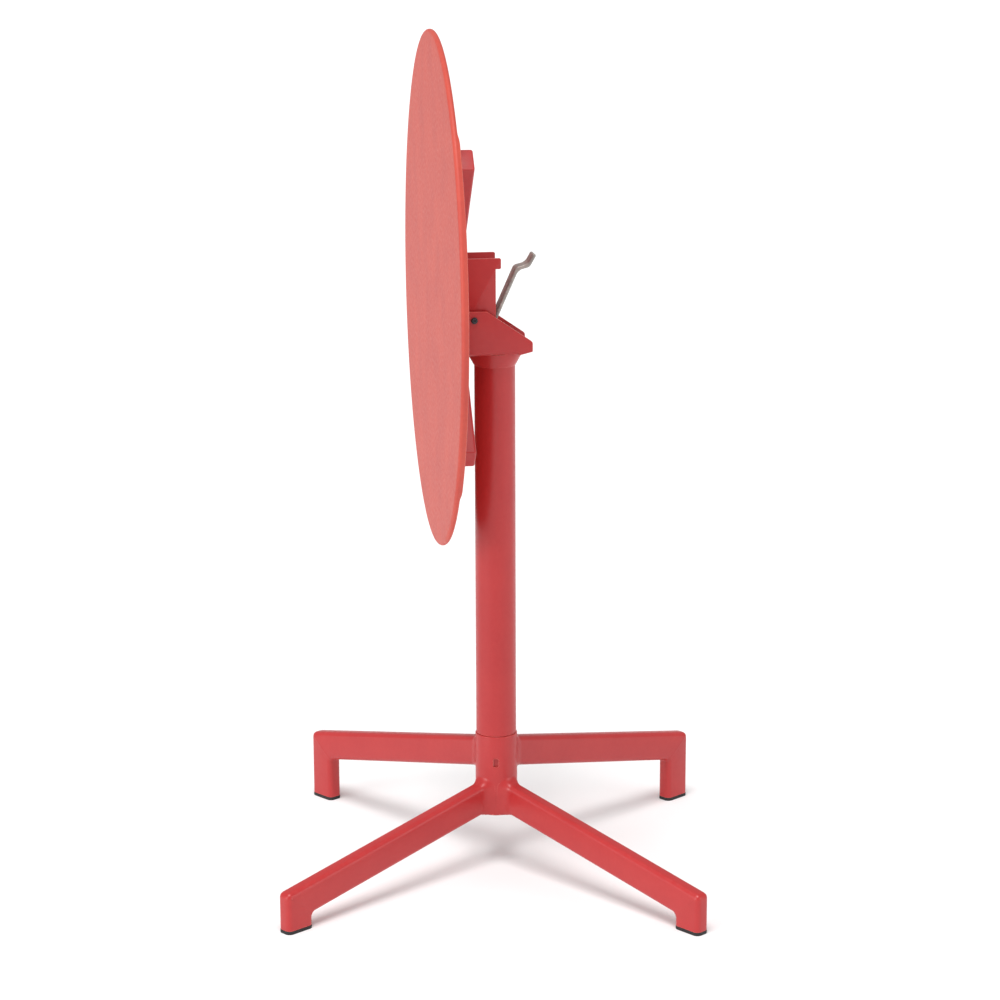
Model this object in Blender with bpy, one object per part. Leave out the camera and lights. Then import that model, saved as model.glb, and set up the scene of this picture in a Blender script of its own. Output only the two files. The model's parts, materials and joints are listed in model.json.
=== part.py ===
"""Tilting bistro table, folded: a round sheet-metal top on a cross brace, hinged on a pedestal
with four legs. Metres, +Z up, origin on the floor under the column's axis. The top hangs
upright on the -X side and its hinge axis runs along +Y. A sprung lever sits in the tilt head."""

import math

import bmesh
import bpy
from mathutils import Matrix, Vector

# ---- Driving dimensions -------------------------------------------------------------------
GAP = 0.0003                 # clearance between neighbouring solids
RUN_FIT = 0.0003             # radial clearance of a pin in its bore

# Hinge
PIVOT_X = -0.029             # hinge axis, measured from the column's axis
PIVOT_Z = 0.6977             # hinge axis above the floor
PIVOT_BOLT_R = 0.0035
PIVOT_HEAD_R = 0.0040
PIVOT_HEAD_H = 0.0022
HEAD_BEVEL = 0.0008
PIVOT_SOCKET_R = 0.002
PIVOT_SOCKET_DEEP = 0.0014
PIVOT_END = 0.002            # bolt past its nut
PIVOT_NUT_R = 0.0065
PIVOT_NUT_H = 0.006
WASHER_R = 0.0075
WASHER_T = 0.0012
SLEEVE_WALL = 0.0022
BUSH_WALL = 0.0040
BUSH_ROOM = 0.002            # from the tilt channel to a cheek, filled by a bush

# Table top
TOP_R = 0.3087
TOP_LEAD = 0.0048            # level top's centre ahead of the column's axis
TOP_RIM = 0.007              # height of the rolled rim
TOP_SHEET = 0.003            # sheet inside the rim
RIM_WIDTH = 0.010            # bead seen from below
RIM_EDGE = 0.0005            # bead's flat starts this far inside the rim's round
RIM_SLOPE = 0.002            # width of the bead's inner side
TOP_FACE = 0.0482            # hinge axis to the upper face
LIP_H = 0.0018               # extra depth of the bead on the two flanks
LIP_HALF_ANGLE = math.radians(43)
LIP_BLEND = math.radians(2.5)

# Cross brace
BRACE_L = 0.490
BRACE_W = 0.030
BRACE_BOTTOM = 0.0315        # upper face of the top to the brace's free side
BRACE_ROUND = 0.0025

# Tilt channel, bolted to the brace
CHANNEL_SIDE_ROOM = 0.003    # from the lever pin's end to a flange
CHANNEL_T = 0.003
CHANNEL_DEPTH = 0.0752       # upper face of the top to the flanges' free edge
CHANNEL_REACH = 0.0733       # hinge axis to the hooked end
TAB_L = 0.013
TAB_H = 0.0064
TAB_ROUND = 0.002
CHANNEL_HUB_R = 0.0245       # rounded end of the flanges about the hinge axis
CHANNEL_WEB_END = 0.0155     # how far the web runs below the hinge axis
SCREW_R = 0.0025
SCREW_HEAD_R = 0.0048
SCREW_HEAD_H = 0.0026
SCREW_DOME = ((1, 0.4), (0.72, 0.85))    # shares of the head's radius and height
SCREW_GRIP = 0.012
SCREW_SPREAD = 0.015         # screw places, from the top's centre along Y and Z

# Tilt head
CHEEK_T = 0.005
HEAD_BACK = 0.0435
HEAD_BOTTOM = 0.6540
HEAD_TOP = 0.7080
HEAD_FLAT_END = -0.0138
NOSE_X = 0.0417
NOSE_TOP = 0.6698
NOSE_BOTTOM = 0.6580
NOSE_CUT = 0.0250
HEAD_ROUNDS = (0.003, 0, 0.0015, 0.004, 0.004, 0.009)
FLOOR_T = 0.004
CHEEK_HOLE = (0.0249, 0.6808)    # blind hole in the far cheek's inner face
CHEEK_HOLE_R = 0.0016
CHEEK_HOLE_DEEP = 0.003
NOTCH_X = (-0.009, 0.011)    # shallow notch in each cheek's lower edge
NOTCH_H = 0.0018
NOTCH_DEEP = 0.0012
FLARE_R = 0.0308
FLARE_H = 0.0072             # height of the cone from the column up to the head
SPIGOT_L = 0.050
PAD_BACK, PAD_AHEAD = 0.005, 0.003   # rest pad's length either side of a tab's middle

# Lever
LEVER_X = -0.0095
LEVER_Z = 0.6752
LEVER_W = 0.024
LEVER_T = 0.0045
LEVER_EDGE_R = 0.0018
LEVER_RISE = math.radians(66)
LEVER_STRAIGHT = 0.0835      # lever axis to the start of the joggle
LEVER_TURN_R = 0.009
LEVER_FLAT = 0.006
LEVER_FLAT_RISE = math.radians(14)
LEVER_TIP = 0.010
LEVER_TIP_RISE = math.radians(60)
LEVER_TIP_ROUND = ((0.0012, 0.93), (0.0019, 0.78))   # reach past the tip, share of the section
LEVER_EYE_R = 0.0058
LEVER_LEVEL_RISE = math.radians(3)   # lever's slope once the top is level
LEVER_PIN_R = 0.003
LUG_T = 0.004
LUG_TOP = 0.6947
LUG_BACK, LUG_AHEAD = 0.009, 0.008           # foot of a lug either side of the lever's pin
LUG_TIP_BACK, LUG_TIP_AHEAD = 0.006, 0.007   # and its top
LUG_SHOULDER = 0.002         # lever's pin to the shoulder ahead of it
LUG_SLANT = 0.006            # height of the slanted edge at the back
LUG_ROUNDS = (0, 0, 0.003, 0.002, 0.002, 0.002)
STOP_PIN_R = 0.002
STOP_REACH = 0.0135          # along the raised lever, from its pin to the stop pin
PIN_STAND = 0.001            # how far the pins stand proud of the lugs
SPRING_ROOM = 0.0055         # from the lever's side to a lug
SPRING_WIRE_R = 0.0006
SPRING_TURNS = 2.5
SPRING_STEPS = 16            # straight pieces in a turn
SPRING_TAIL = 0.015          # straight arm along the lever
SPRING_HOOK = 0.007          # end of the arm, bent in under the lever
LATCH_BAR_R = 0.003
LATCH_REACH = 0.041          # along the level lever, from its pin to the latch bar

# Column and hub
COLUMN_R = 0.025
COLUMN_WALL = 0.002
HUB_R = 0.0262
HUB_BOTTOM = 0.0665
HUB_TOP = 0.1700
HUB_BEVEL = 0.0008
HUB_SPIGOT = 0.035
HUB_WELL_R = 0.018
HUB_WELL_TOP = 0.150
ROD_R = 0.004
ROD_NUT_R = 0.0075
ROD_NUT_H = 0.0065
ROD_WASHER_R = 0.012
ROD_WASHER_T = 0.002
ROD_GRIP = 0.030             # thread inside the head's spigot
ROD_END = 0.004              # rod past its nut
MARK_DROP = 0.034            # hub's top edge to the middle of the set screw's recess
MARK_W, MARK_H, MARK_DEEP = 0.0068, 0.011, 0.0030
SET_SCREW_R = 0.0026
SET_SCREW_L = 0.010
SET_SCREW_SINK = 0.0008
HEX_SOCKET_R = 0.0012
HEX_SOCKET_DEEP = 0.0015

# Legs
BASE_TURN = math.radians(-8.6)       # the base stands turned under the head
LEG_W = 0.020
LEG_H = 0.038
LEG_ROUND = 0.0065
LEG_START = 0.012            # how far the leg's blank runs into the hub before it is coped
LEG_REACH = 0.350            # column axis to the outer face of a foot
FRONT_OUT, FRONT_IN = 0.0497, 0.1083   # height of a leg's top side at the foot and at the hub
BACK_OUT, BACK_IN = 0.0886, 0.1588
FOOT_L = 0.038
FOOT_ROUND = 0.0072
FOOT_FILLET = 0.0060
GLIDE_H = 0.004
GLIDE_GROW = 0.0002          # how far a glide stands out round the foot
GLIDE_EDGE = 0.0007
GLIDE_PEG_R = 0.003
GLIDE_PEG_L = 0.009

ROUND = 48                   # sides of a turned piece
SMALL = 24                   # sides of a fastener
TINY = 16                    # sides of a pin or screw under 7 mm
PAST = 0.005                 # how far a cutter runs past the face that it opens
JOINED = 0.001               # how far a united shape runs into the other one
TOP_SIDES = 144

# ---- Sizes that follow --------------------------------------------------------------------
SIDES = ((-1, "near"), (1, "far"))       # near is the -Y side
PIVOT = Vector((PIVOT_X, 0, PIVOT_Z))
LEVER_AXIS = Vector((LEVER_X, 0, LEVER_Z))
TOP_X = PIVOT_X - TOP_FACE               # upper face of the folded top
TOP_Z = PIVOT_Z - PIVOT_X + TOP_LEAD
LEVER_STACK = LEVER_W / 2 + SPRING_ROOM + LUG_T + PIN_STAND   # half of the lever's pin
CHANNEL_W = 2 * (LEVER_STACK + CHANNEL_SIDE_ROOM + CHANNEL_T)
HEAD_W = CHANNEL_W + 2 * (BUSH_ROOM + CHEEK_T)
HEAD_IN = HEAD_W / 2 - CHEEK_T
FLOOR_TOP = HEAD_BOTTOM + FLOOR_T
HEAD_SEAT = HEAD_BOTTOM - FLARE_H
SPIGOT_R = COLUMN_R - COLUMN_WALL - GAP
BRACE_FREE = TOP_X + BRACE_BOTTOM        # the brace's free side
CHANNEL_BACK = BRACE_FREE + GAP
PIVOT_BORE = PIVOT_BOLT_R + RUN_FIT


# ---- Mesh helpers -------------------------------------------------------------------------
def material(name, color, roughness, metallic=0.0):
    made = bpy.data.materials.new(name)
    made.use_nodes = True
    shader = made.node_tree.nodes["Principled BSDF"]
    shader.inputs["Base Color"].default_value = (*color, 1)
    shader.inputs["Roughness"].default_value = roughness
    shader.inputs["Metallic"].default_value = metallic
    return made


def solid(name, bm, finish, origin=None, cutter=False):
    """One object from a bmesh in world coordinates, with its origin at a joint axis if given."""
    bmesh.ops.recalc_face_normals(bm, faces=bm.faces)
    if origin is not None:
        bmesh.ops.translate(bm, vec=-Vector(origin), verts=bm.verts)
    mesh = bpy.data.meshes.new(name)
    bm.to_mesh(mesh)
    bm.free()
    mesh.shade_smooth()
    mesh.set_sharp_from_angle(angle=math.radians(35))
    obj = bpy.data.objects.new(name, mesh)
    if origin is not None:
        obj.location = origin
    if finish:
        mesh.materials.append(finish)
    bpy.context.scene.collection.objects.link(obj)
    if cutter:
        obj.hide_render = True
        obj.display_type = "WIRE"
    return obj


def loft(rings, closed=False):
    """A bmesh skin over rings of equally many points, capped unless the rings close on themselves."""
    bm = bmesh.new()
    rows = [[bm.verts.new(point) for point in ring] for ring in rings]
    count = len(rows[0])
    pairs = list(zip(rows, rows[1:]))
    if closed:
        pairs.append((rows[-1], rows[0]))
    for low, high in pairs:
        for i in range(count):
            j = (i + 1) % count
            bm.faces.new((low[i], low[j], high[j], high[i]))
    if not closed:
        bm.faces.new(rows[0][::-1])
        bm.faces.new(rows[-1])
    return bm


def plate(outline, y0, y1):
    """An outline in the XZ plane, extruded from y0 to y1."""
    return loft([[(x, y, z) for x, z in outline] for y in (y0, y1)])


def box(low, high):
    (x0, y0, z0), (x1, y1, z1) = low, high
    return plate([(x0, z0), (x1, z0), (x1, z1), (x0, z1)], y0, y1)


def turned(profile, place, sides=ROUND):
    """A solid turned about local Z from (radius, height) points, then put in place.
    A profile that starts and ends on the axis makes a solid piece, any other one a ring."""
    bm = bmesh.new()
    rows = []
    for radius, height in profile:
        if radius == 0:
            rows.append([bm.verts.new(place @ Vector((0, 0, height)))])
            continue
        angles = [2 * math.pi * i / sides for i in range(sides)]
        rows.append([
            bm.verts.new(place @ Vector((radius * math.cos(a), radius * math.sin(a), height)))
            for a in angles
        ])
    pairs = list(zip(rows, rows[1:]))
    if profile[0][0] > 0:
        pairs.append((rows[-1], rows[0]))
    for low, high in pairs:
        for i in range(sides):
            j = (i + 1) % sides
            quad = [low[i % len(low)], low[j % len(low)], high[j % len(high)], high[i % len(high)]]
            corners = list(dict.fromkeys(quad))
            if len(corners) > 2:
                bm.faces.new(corners)
    return bm


def along_y(x, z):
    """Turned pieces on a Y axis through (x, z): local height runs along +Y."""
    return Matrix.Translation((x, 0, z)) @ Matrix.Rotation(math.radians(-90), 4, "X")


UPRIGHT = Matrix.Identity(4)


def rod(radius, low, high, place=UPRIGHT, sides=ROUND):
    return turned([(0, low), (radius, low), (radius, high), (0, high)], place, sides)


def ring(inner, outer, low, high, place=UPRIGHT, sides=ROUND):
    return turned([(inner, low), (outer, low), (outer, high), (inner, high)], place, sides)


def cut(target, *cutters):
    for cutter in cutters:
        modifier = target.modifiers.new("cut " + cutter.name, "BOOLEAN")
        modifier.operation = "DIFFERENCE"
        modifier.object = cutter


def join(target, *others):
    for other in others:
        modifier = target.modifiers.new("join " + other.name, "BOOLEAN")
        modifier.operation = "UNION"
        modifier.object = other


def helper(name, bm):
    return solid(name, bm, None, cutter=True)


def fillet(corner, before, after, radius, steps=4):
    """Points of an arc that rounds a corner between the directions to its two neighbours."""
    corner, before, after = Vector(corner), Vector(before), Vector(after)
    first = (before - corner).normalized()
    second = (after - corner).normalized()
    half = first.angle(second) / 2
    reach = radius / math.tan(half)
    centre = corner + (first + second).normalized() * radius / math.sin(half)
    start = corner + first * reach - centre
    end = corner + second * reach - centre
    sweep = start.angle(end)
    points = []
    for i in range(steps + 1):
        t = i / steps
        arm = (start * math.sin((1 - t) * sweep) + end * math.sin(t * sweep)) / math.sin(sweep)
        points.append(tuple(centre + arm))
    return points


def rounded(corners, radii, steps=4):
    """A closed outline with each corner rounded by its own radius, 0 for a sharp one."""
    outline = []
    count = len(corners)
    for i, (corner, radius) in enumerate(zip(corners, radii)):
        if radius == 0:
            outline.append(corner)
            continue
        outline += fillet(corner, corners[i - 1], corners[(i + 1) % count], radius, steps)
    return outline


# ---- Finishes -----------------------------------------------------------------------------
def make_finishes():
    return {
        "top": material("top_red", (0.62, 0.19, 0.16), 0.55),
        "frame": material("frame_red", (0.50, 0.075, 0.075), 0.45),
        "lever": material("lever_steel", (0.33, 0.30, 0.27), 0.42, 0.9),
        "steel": material("zinc_steel", (0.42, 0.42, 0.43), 0.35, 1.0),
        "dark": material("dark_steel", (0.055, 0.055, 0.06), 0.4, 0.8),
        "rubber": material("glide_black", (0.012, 0.012, 0.012), 0.6),
        "bush": material("bush_nylon", (0.55, 0.54, 0.50), 0.55),
    }


# ---- Table top, brace and channel -----------------------------------------------------------
def lip_depth(angle):
    """Extra bead depth around the rim: full on the two flanks, nothing over and under them."""
    off = abs(math.remainder(angle, math.pi))
    share = (LIP_HALF_ANGLE - off) / LIP_BLEND
    share = max(0.0, min(1.0, share))
    return LIP_H * share * share * (3 - 2 * share)


def rim_profile(lip):
    """Radius and depth below the upper face, from the face's centre round to the sheet's centre."""
    arc = [math.radians(90 - 22.5 * i) for i in range(9)]
    nose_r = TOP_RIM / 2
    nose = [(TOP_R - nose_r * (1 - math.cos(a)), nose_r * (1 - math.sin(a))) for a in arc]
    lip_out = TOP_R - nose_r - RIM_EDGE
    lip_in = TOP_R - RIM_WIDTH
    bead = [(lip_out, TOP_RIM + lip), (lip_in, TOP_RIM + lip), (lip_in - RIM_SLOPE, TOP_SHEET)]
    return nose + bead


def make_top(finish):
    bm = bmesh.new()
    rings = []
    for i in range(TOP_SIDES):
        angle = 2 * math.pi * i / TOP_SIDES
        ring_points = []
        for radius, depth in rim_profile(lip_depth(angle)):
            y, z = radius * math.cos(angle), TOP_Z + radius * math.sin(angle)
            ring_points.append(bm.verts.new((TOP_X + depth, y, z)))
        rings.append(ring_points)
    face_centre = bm.verts.new((TOP_X, 0, TOP_Z))
    sheet_centre = bm.verts.new((TOP_X + TOP_SHEET, 0, TOP_Z))
    for here, after in zip(rings, rings[1:] + rings[:1]):
        bm.faces.new((face_centre, here[0], after[0]))
        bm.faces.new((sheet_centre, here[-1], after[-1]))
        for k in range(len(here) - 1):
            bm.faces.new((here[k], here[k + 1], after[k + 1], after[k]))
    return solid("tabletop", bm, finish["top"], origin=PIVOT)


def brace_bar(start, end, angle):
    """A closed bar under the top, lying from start to end along a line turned by angle."""
    low, high = TOP_X + TOP_SHEET + GAP, BRACE_FREE
    half = BRACE_W / 2
    section = rounded(
        [(low, -half), (high, -half), (high, half), (low, half)],
        [0, BRACE_ROUND, BRACE_ROUND, 0],
        3,
    )
    way = Vector((0, math.cos(angle), math.sin(angle)))
    side = Vector((0, -math.sin(angle), math.cos(angle)))
    centre = Vector((0, 0, TOP_Z))
    rings = [
        [centre + way * reach + side * across + Vector((x, 0, 0)) for x, across in section]
        for reach in (start, end)
    ]
    return loft(rings)


def screw_places():
    offsets = (-SCREW_SPREAD, SCREW_SPREAD)
    return [(y, TOP_Z + z) for y in offsets for z in offsets]


def along_x(y, z):
    """Turned pieces on an X axis through (y, z): local height runs along +X."""
    return Matrix.Translation((0, y, z)) @ Matrix.Rotation(math.radians(90), 4, "Y")


def make_brace(finish):
    half = BRACE_L / 2
    inner = BRACE_W / 2 + GAP
    across = math.radians(-45)
    bars = [
        solid("brace_long", brace_bar(-half, half, math.radians(45)), finish["frame"], origin=PIVOT),
        solid("brace_near", brace_bar(-half, -inner, across), finish["frame"], origin=PIVOT),
        solid("brace_far", brace_bar(inner, half, across), finish["frame"], origin=PIVOT),
    ]
    depth = BRACE_FREE - SCREW_GRIP - GAP
    for number, (y, z) in enumerate(screw_places(), 1):
        bore = rod(SCREW_R + RUN_FIT, depth, BRACE_FREE + PAST, along_x(y, z), SMALL)
        on_long = y * (z - TOP_Z) > 0
        bar = bars[0] if on_long else bars[1] if y < 0 else bars[2]
        cut(bar, helper(f"brace_bore_{number}", bore))


def channel_outline():
    edge = TOP_X + CHANNEL_DEPTH
    end = PIVOT_Z + CHANNEL_REACH
    tab = edge + TAB_H
    tab_low = end - TAB_L
    swing = [math.radians(a) for a in range(-24, -157, -12)]
    arc = [(PIVOT_X + CHANNEL_HUB_R * math.cos(a), PIVOT_Z + CHANNEL_HUB_R * math.sin(a)) for a in swing]
    hub = [(x, z) for x, z in arc if x > CHANNEL_BACK]
    hub.append((CHANNEL_BACK, PIVOT_Z - CHANNEL_WEB_END))
    outer = fillet((tab, end), (edge, end), (tab, tab_low), TAB_ROUND, 3)
    lower = fillet((tab, tab_low), (tab, end), (edge, tab_low), TAB_ROUND, 3)
    return [(CHANNEL_BACK, end)] + outer + lower + [(edge, tab_low)] + hub


def make_channel(finish):
    half = CHANNEL_W / 2
    inner = half - CHANNEL_T
    channel = solid("tilt_channel", plate(channel_outline(), -half, half), finish["frame"], origin=PIVOT)
    inside = box(
        (CHANNEL_BACK + CHANNEL_T, -inner, PIVOT_Z - CHANNEL_HUB_R - PAST),
        (CHANNEL_BACK + CHANNEL_DEPTH, inner, PIVOT_Z + CHANNEL_REACH + PAST),
    )
    bore = rod(PIVOT_BORE, -half - PAST, half + PAST, along_y(PIVOT_X, PIVOT_Z), SMALL)
    cut(channel, helper("channel_inside", inside), helper("channel_bore", bore))
    for number, (y, z) in enumerate(screw_places(), 1):
        hole = rod(
            SCREW_R + RUN_FIT, CHANNEL_BACK - PAST, CHANNEL_BACK + CHANNEL_T + PAST, along_x(y, z), SMALL
        )
        cut(channel, helper(f"channel_hole_{number}", hole))


def make_screws(finish):
    seat = CHANNEL_BACK + CHANNEL_T + GAP
    tip = BRACE_FREE - SCREW_GRIP
    dome = [(SCREW_HEAD_R * across, seat + SCREW_HEAD_H * up) for across, up in SCREW_DOME]
    profile = [(0, tip), (SCREW_R, tip), (SCREW_R, seat), (SCREW_HEAD_R, seat)]
    profile += dome + [(0, seat + SCREW_HEAD_H)]
    for number, (y, z) in enumerate(screw_places(), 1):
        screw = turned(profile, along_x(y, z), TINY)
        solid(f"channel_screw_{number}", screw, finish["dark"], origin=PIVOT)


def latch_place():
    """Latch bar in the folded channel: it comes down on the lever's upper side when level."""
    way = Vector((math.cos(LEVER_LEVEL_RISE), 0, math.sin(LEVER_LEVEL_RISE)))
    up = Vector((-math.sin(LEVER_LEVEL_RISE), 0, math.cos(LEVER_LEVEL_RISE)))
    level = LEVER_AXIS + way * LATCH_REACH + up * (LEVER_T / 2 + LATCH_BAR_R + GAP)
    arm = level - PIVOT
    return PIVOT_X - arm.z, PIVOT_Z + arm.x


def make_latch_bar(finish):
    half = CHANNEL_W / 2 - CHANNEL_T - GAP
    bar = rod(LATCH_BAR_R, -half, half, along_y(*latch_place()), SMALL)
    solid("latch_bar", bar, finish["steel"], origin=PIVOT)


# ---- Tilt head ------------------------------------------------------------------------------
def head_outline():
    corners = [
        (-HEAD_BACK, HEAD_BOTTOM), (NOSE_CUT, HEAD_BOTTOM), (NOSE_X, NOSE_BOTTOM), (NOSE_X, NOSE_TOP),
        (HEAD_FLAT_END, HEAD_TOP), (-HEAD_BACK, HEAD_TOP),
    ]
    return rounded(corners, HEAD_ROUNDS)


def lug(y0, y1):
    """One of the two ears that carry the lever's pin and the stop pin."""
    base = FLOOR_TOP - JOINED
    corners = [
        (LEVER_X - LUG_BACK, base),
        (LEVER_X + LUG_AHEAD, base),
        (LEVER_X + LUG_AHEAD, LEVER_Z + LUG_SHOULDER),
        (LEVER_X + LUG_TIP_AHEAD, LUG_TOP),
        (LEVER_X - LUG_TIP_BACK, LUG_TOP),
        (LEVER_X - LUG_BACK, LUG_TOP - LUG_SLANT),
    ]
    return plate(rounded(corners, LUG_ROUNDS, 3), y0, y1)


def lug_faces():
    """Inner and outer faces of the far lug; the near lug mirrors them."""
    inner = LEVER_W / 2 + SPRING_ROOM
    return inner, inner + LUG_T


def stop_place():
    """The stop pin lies against the back of the raised lever, above its pin."""
    way = Vector((math.cos(LEVER_RISE), 0, math.sin(LEVER_RISE)))
    back = Vector((-math.sin(LEVER_RISE), 0, math.cos(LEVER_RISE)))
    place = LEVER_AXIS + way * STOP_REACH + back * (LEVER_T / 2 + STOP_PIN_R + GAP)
    return place.x, place.z


def make_head(finish):
    half = HEAD_W / 2
    head = solid("tilt_head", plate(head_outline(), -half, half), finish["frame"])
    inside = box((-HEAD_BACK - PAST, -HEAD_IN, FLOOR_TOP), (NOSE_X + PAST, HEAD_IN, HEAD_TOP + PAST))
    cut(head, helper("head_inside", inside))
    inside_floor = HEAD_BOTTOM + FLOOR_T / 2
    taper = [
        (0, HEAD_SEAT - SPIGOT_L), (SPIGOT_R, HEAD_SEAT - SPIGOT_L), (SPIGOT_R, HEAD_SEAT),
        (COLUMN_R, HEAD_SEAT), (FLARE_R, HEAD_BOTTOM), (FLARE_R, inside_floor), (0, inside_floor),
    ]
    join(head, helper("head_flare", turned(taper, UPRIGHT)))
    inner, outer = lug_faces()
    join(head, helper("near_lug", lug(-outer, -inner)), helper("far_lug", lug(inner, outer)))
    pad_top = PIVOT_Z - (CHANNEL_DEPTH - TOP_FACE + TAB_H) - GAP
    tab_middle = PIVOT_X + CHANNEL_REACH - TAB_L / 2
    for side, name in SIDES:
        y0, y1 = sorted((side * (CHANNEL_W / 2 - CHANNEL_T - JOINED), side * (CHANNEL_W / 2 + JOINED)))
        low = (tab_middle - PAD_BACK, y0, FLOOR_TOP - JOINED)
        join(head, helper(f"{name}_rest_pad", box(low, (tab_middle + PAD_AHEAD, y1, pad_top))))
    pivot_bore = rod(PIVOT_BORE, -half - PAST, half + PAST, along_y(PIVOT_X, PIVOT_Z), SMALL)
    pin_bore = rod(LEVER_PIN_R + RUN_FIT, -LEVER_STACK, LEVER_STACK, along_y(LEVER_X, LEVER_Z), SMALL)
    stop_bore = rod(STOP_PIN_R + RUN_FIT, -LEVER_STACK, LEVER_STACK, along_y(*stop_place()), SMALL)
    hole_end = HEAD_IN + CHEEK_HOLE_DEEP
    cheek_hole = rod(CHEEK_HOLE_R, HEAD_IN - PAST, hole_end, along_y(*CHEEK_HOLE), SMALL)
    spigot_end = HEAD_SEAT - SPIGOT_L
    rod_bore = rod(ROD_R + RUN_FIT, spigot_end - PAST, spigot_end + ROD_GRIP + GAP, sides=SMALL)
    cut(
        head,
        helper("pivot_bore", pivot_bore),
        helper("lever_pin_bore", pin_bore),
        helper("stop_pin_bore", stop_bore),
        helper("cheek_hole", cheek_hole),
        helper("rod_bore", rod_bore),
    )
    for side, name in SIDES:
        y0, y1 = sorted((side * (half - NOTCH_DEEP), side * (half + PAST)))
        notch = box((NOTCH_X[0], y0, HEAD_BOTTOM - PAST), (NOTCH_X[1], y1, HEAD_BOTTOM + NOTCH_H))
        cut(head, helper(f"{name}_edge_notch", notch))


def make_pivot(finish):
    half = HEAD_W / 2
    place = along_y(PIVOT_X, PIVOT_Z)
    head_seat = -half - GAP
    head_end = head_seat - PIVOT_HEAD_H
    washer_seat = half + GAP
    nut_seat = washer_seat + WASHER_T + GAP
    nut_end = nut_seat + PIVOT_NUT_H
    bolt_end = nut_end + PIVOT_END
    profile = [
        (0, head_end), (PIVOT_HEAD_R - HEAD_BEVEL, head_end), (PIVOT_HEAD_R, head_end + HEAD_BEVEL),
        (PIVOT_HEAD_R, head_seat), (PIVOT_BOLT_R, head_seat), (PIVOT_BOLT_R, bolt_end), (0, bolt_end),
    ]
    bolt = solid("pivot_bolt", turned(profile, place, SMALL), finish["dark"])
    socket = rod(PIVOT_SOCKET_R, head_end - PAST, head_end + PIVOT_SOCKET_DEEP, place, 6)
    cut(bolt, helper("pivot_socket", socket))
    washer = ring(PIVOT_BORE, WASHER_R, washer_seat, washer_seat + WASHER_T, place, SMALL)
    solid("pivot_washer", washer, finish["steel"])
    solid("pivot_nut", ring_nut(PIVOT_BORE, PIVOT_NUT_R, nut_seat, nut_end, place), finish["steel"])
    channel = CHANNEL_W / 2
    for side, name in SIDES:
        low, high = sorted((side * (channel + GAP), side * (HEAD_IN - GAP)))
        bush = ring(PIVOT_BORE, PIVOT_BOLT_R + BUSH_WALL, low, high, place, SMALL)
        solid(f"{name}_bush", bush, finish["bush"])
    inner = channel - CHANNEL_T - GAP
    sleeve = ring(PIVOT_BORE, PIVOT_BOLT_R + SLEEVE_WALL, -inner, inner, place, SMALL)
    solid("pivot_sleeve", sleeve, finish["steel"], origin=PIVOT)


def ring_nut(bore, radius, low, high, place):
    """A hexagon nut: twelve-point bore ring inside a six-sided outside."""
    angles = [math.radians(30 * i) for i in range(12)]
    flat = radius * math.cos(math.pi / 6)
    reaches = [radius, flat] * 6
    outside = [(reach * math.cos(a), reach * math.sin(a)) for reach, a in zip(reaches, angles)]
    inside = [(bore * math.cos(a), bore * math.sin(a)) for a in angles]
    rings = [
        [place @ Vector((x, y, h)) for x, y in points]
        for points, h in ((inside, low), (outside, low), (outside, high), (inside, high))
    ]
    return loft(rings, closed=True)


# ---- Lever ----------------------------------------------------------------------------------
def lever_path():
    """Middle line of the bar in the XZ plane: straight, joggled away from the top, straight again."""
    points = [LEVER_AXIS.copy()]
    way = LEVER_RISE
    here = LEVER_AXIS + Vector((math.cos(way), 0, math.sin(way))) * LEVER_STRAIGHT
    points.append(here.copy())
    for target, straight in ((LEVER_FLAT_RISE, LEVER_FLAT), (LEVER_TIP_RISE, LEVER_TIP)):
        steps = 5
        turn = (target - way) / steps
        chord = 2 * LEVER_TURN_R * math.sin(abs(turn) / 2)
        for _ in range(steps):
            middle = way + turn / 2
            here = here + Vector((math.cos(middle), 0, math.sin(middle))) * chord
            points.append(here.copy())
            way += turn
        here = here + Vector((math.cos(way), 0, math.sin(way))) * straight
        points.append(here.copy())
    return points


def bar_section(width, thick, radius, steps=3):
    half, deep = width / 2, thick / 2
    return rounded([(-half, -deep), (half, -deep), (half, deep), (-half, deep)], [radius] * 4, steps)


def make_lever(finish):
    path = lever_path()
    section = bar_section(LEVER_W, LEVER_T, LEVER_EDGE_R)
    rings = []
    for i, point in enumerate(path):
        before = path[max(i - 1, 0)]
        after = path[min(i + 1, len(path) - 1)]
        way = (after - before).normalized()
        normal = Vector((-way.z, 0, way.x))
        rings.append([point + normal * deep + Vector((0, across, 0)) for across, deep in section])
    tip = rings[-1]
    middle = path[-1]
    for reach, share in LEVER_TIP_ROUND:
        rings.append([middle + way * reach + (point - middle) * share for point in tip])
    lever = solid("lever", loft(rings), finish["lever"], origin=LEVER_AXIS)
    half = LEVER_W / 2
    eye = rod(LEVER_EYE_R, -half, half, along_y(LEVER_X, LEVER_Z))
    bore = rod(LEVER_PIN_R + RUN_FIT, -half - PAST, half + PAST, along_y(LEVER_X, LEVER_Z), SMALL)
    join(lever, helper("lever_eye", eye))
    cut(lever, helper("lever_bore", bore))


def make_lever_pins(finish):
    pins = (
        ("lever_pin", LEVER_PIN_R, (LEVER_X, LEVER_Z)),
        ("lever_stop_pin", STOP_PIN_R, stop_place()),
    )
    for name, radius, place in pins:
        pin = rod(radius, -LEVER_STACK, LEVER_STACK, along_y(*place), SMALL)
        solid(name, pin, finish["steel"])


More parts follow.
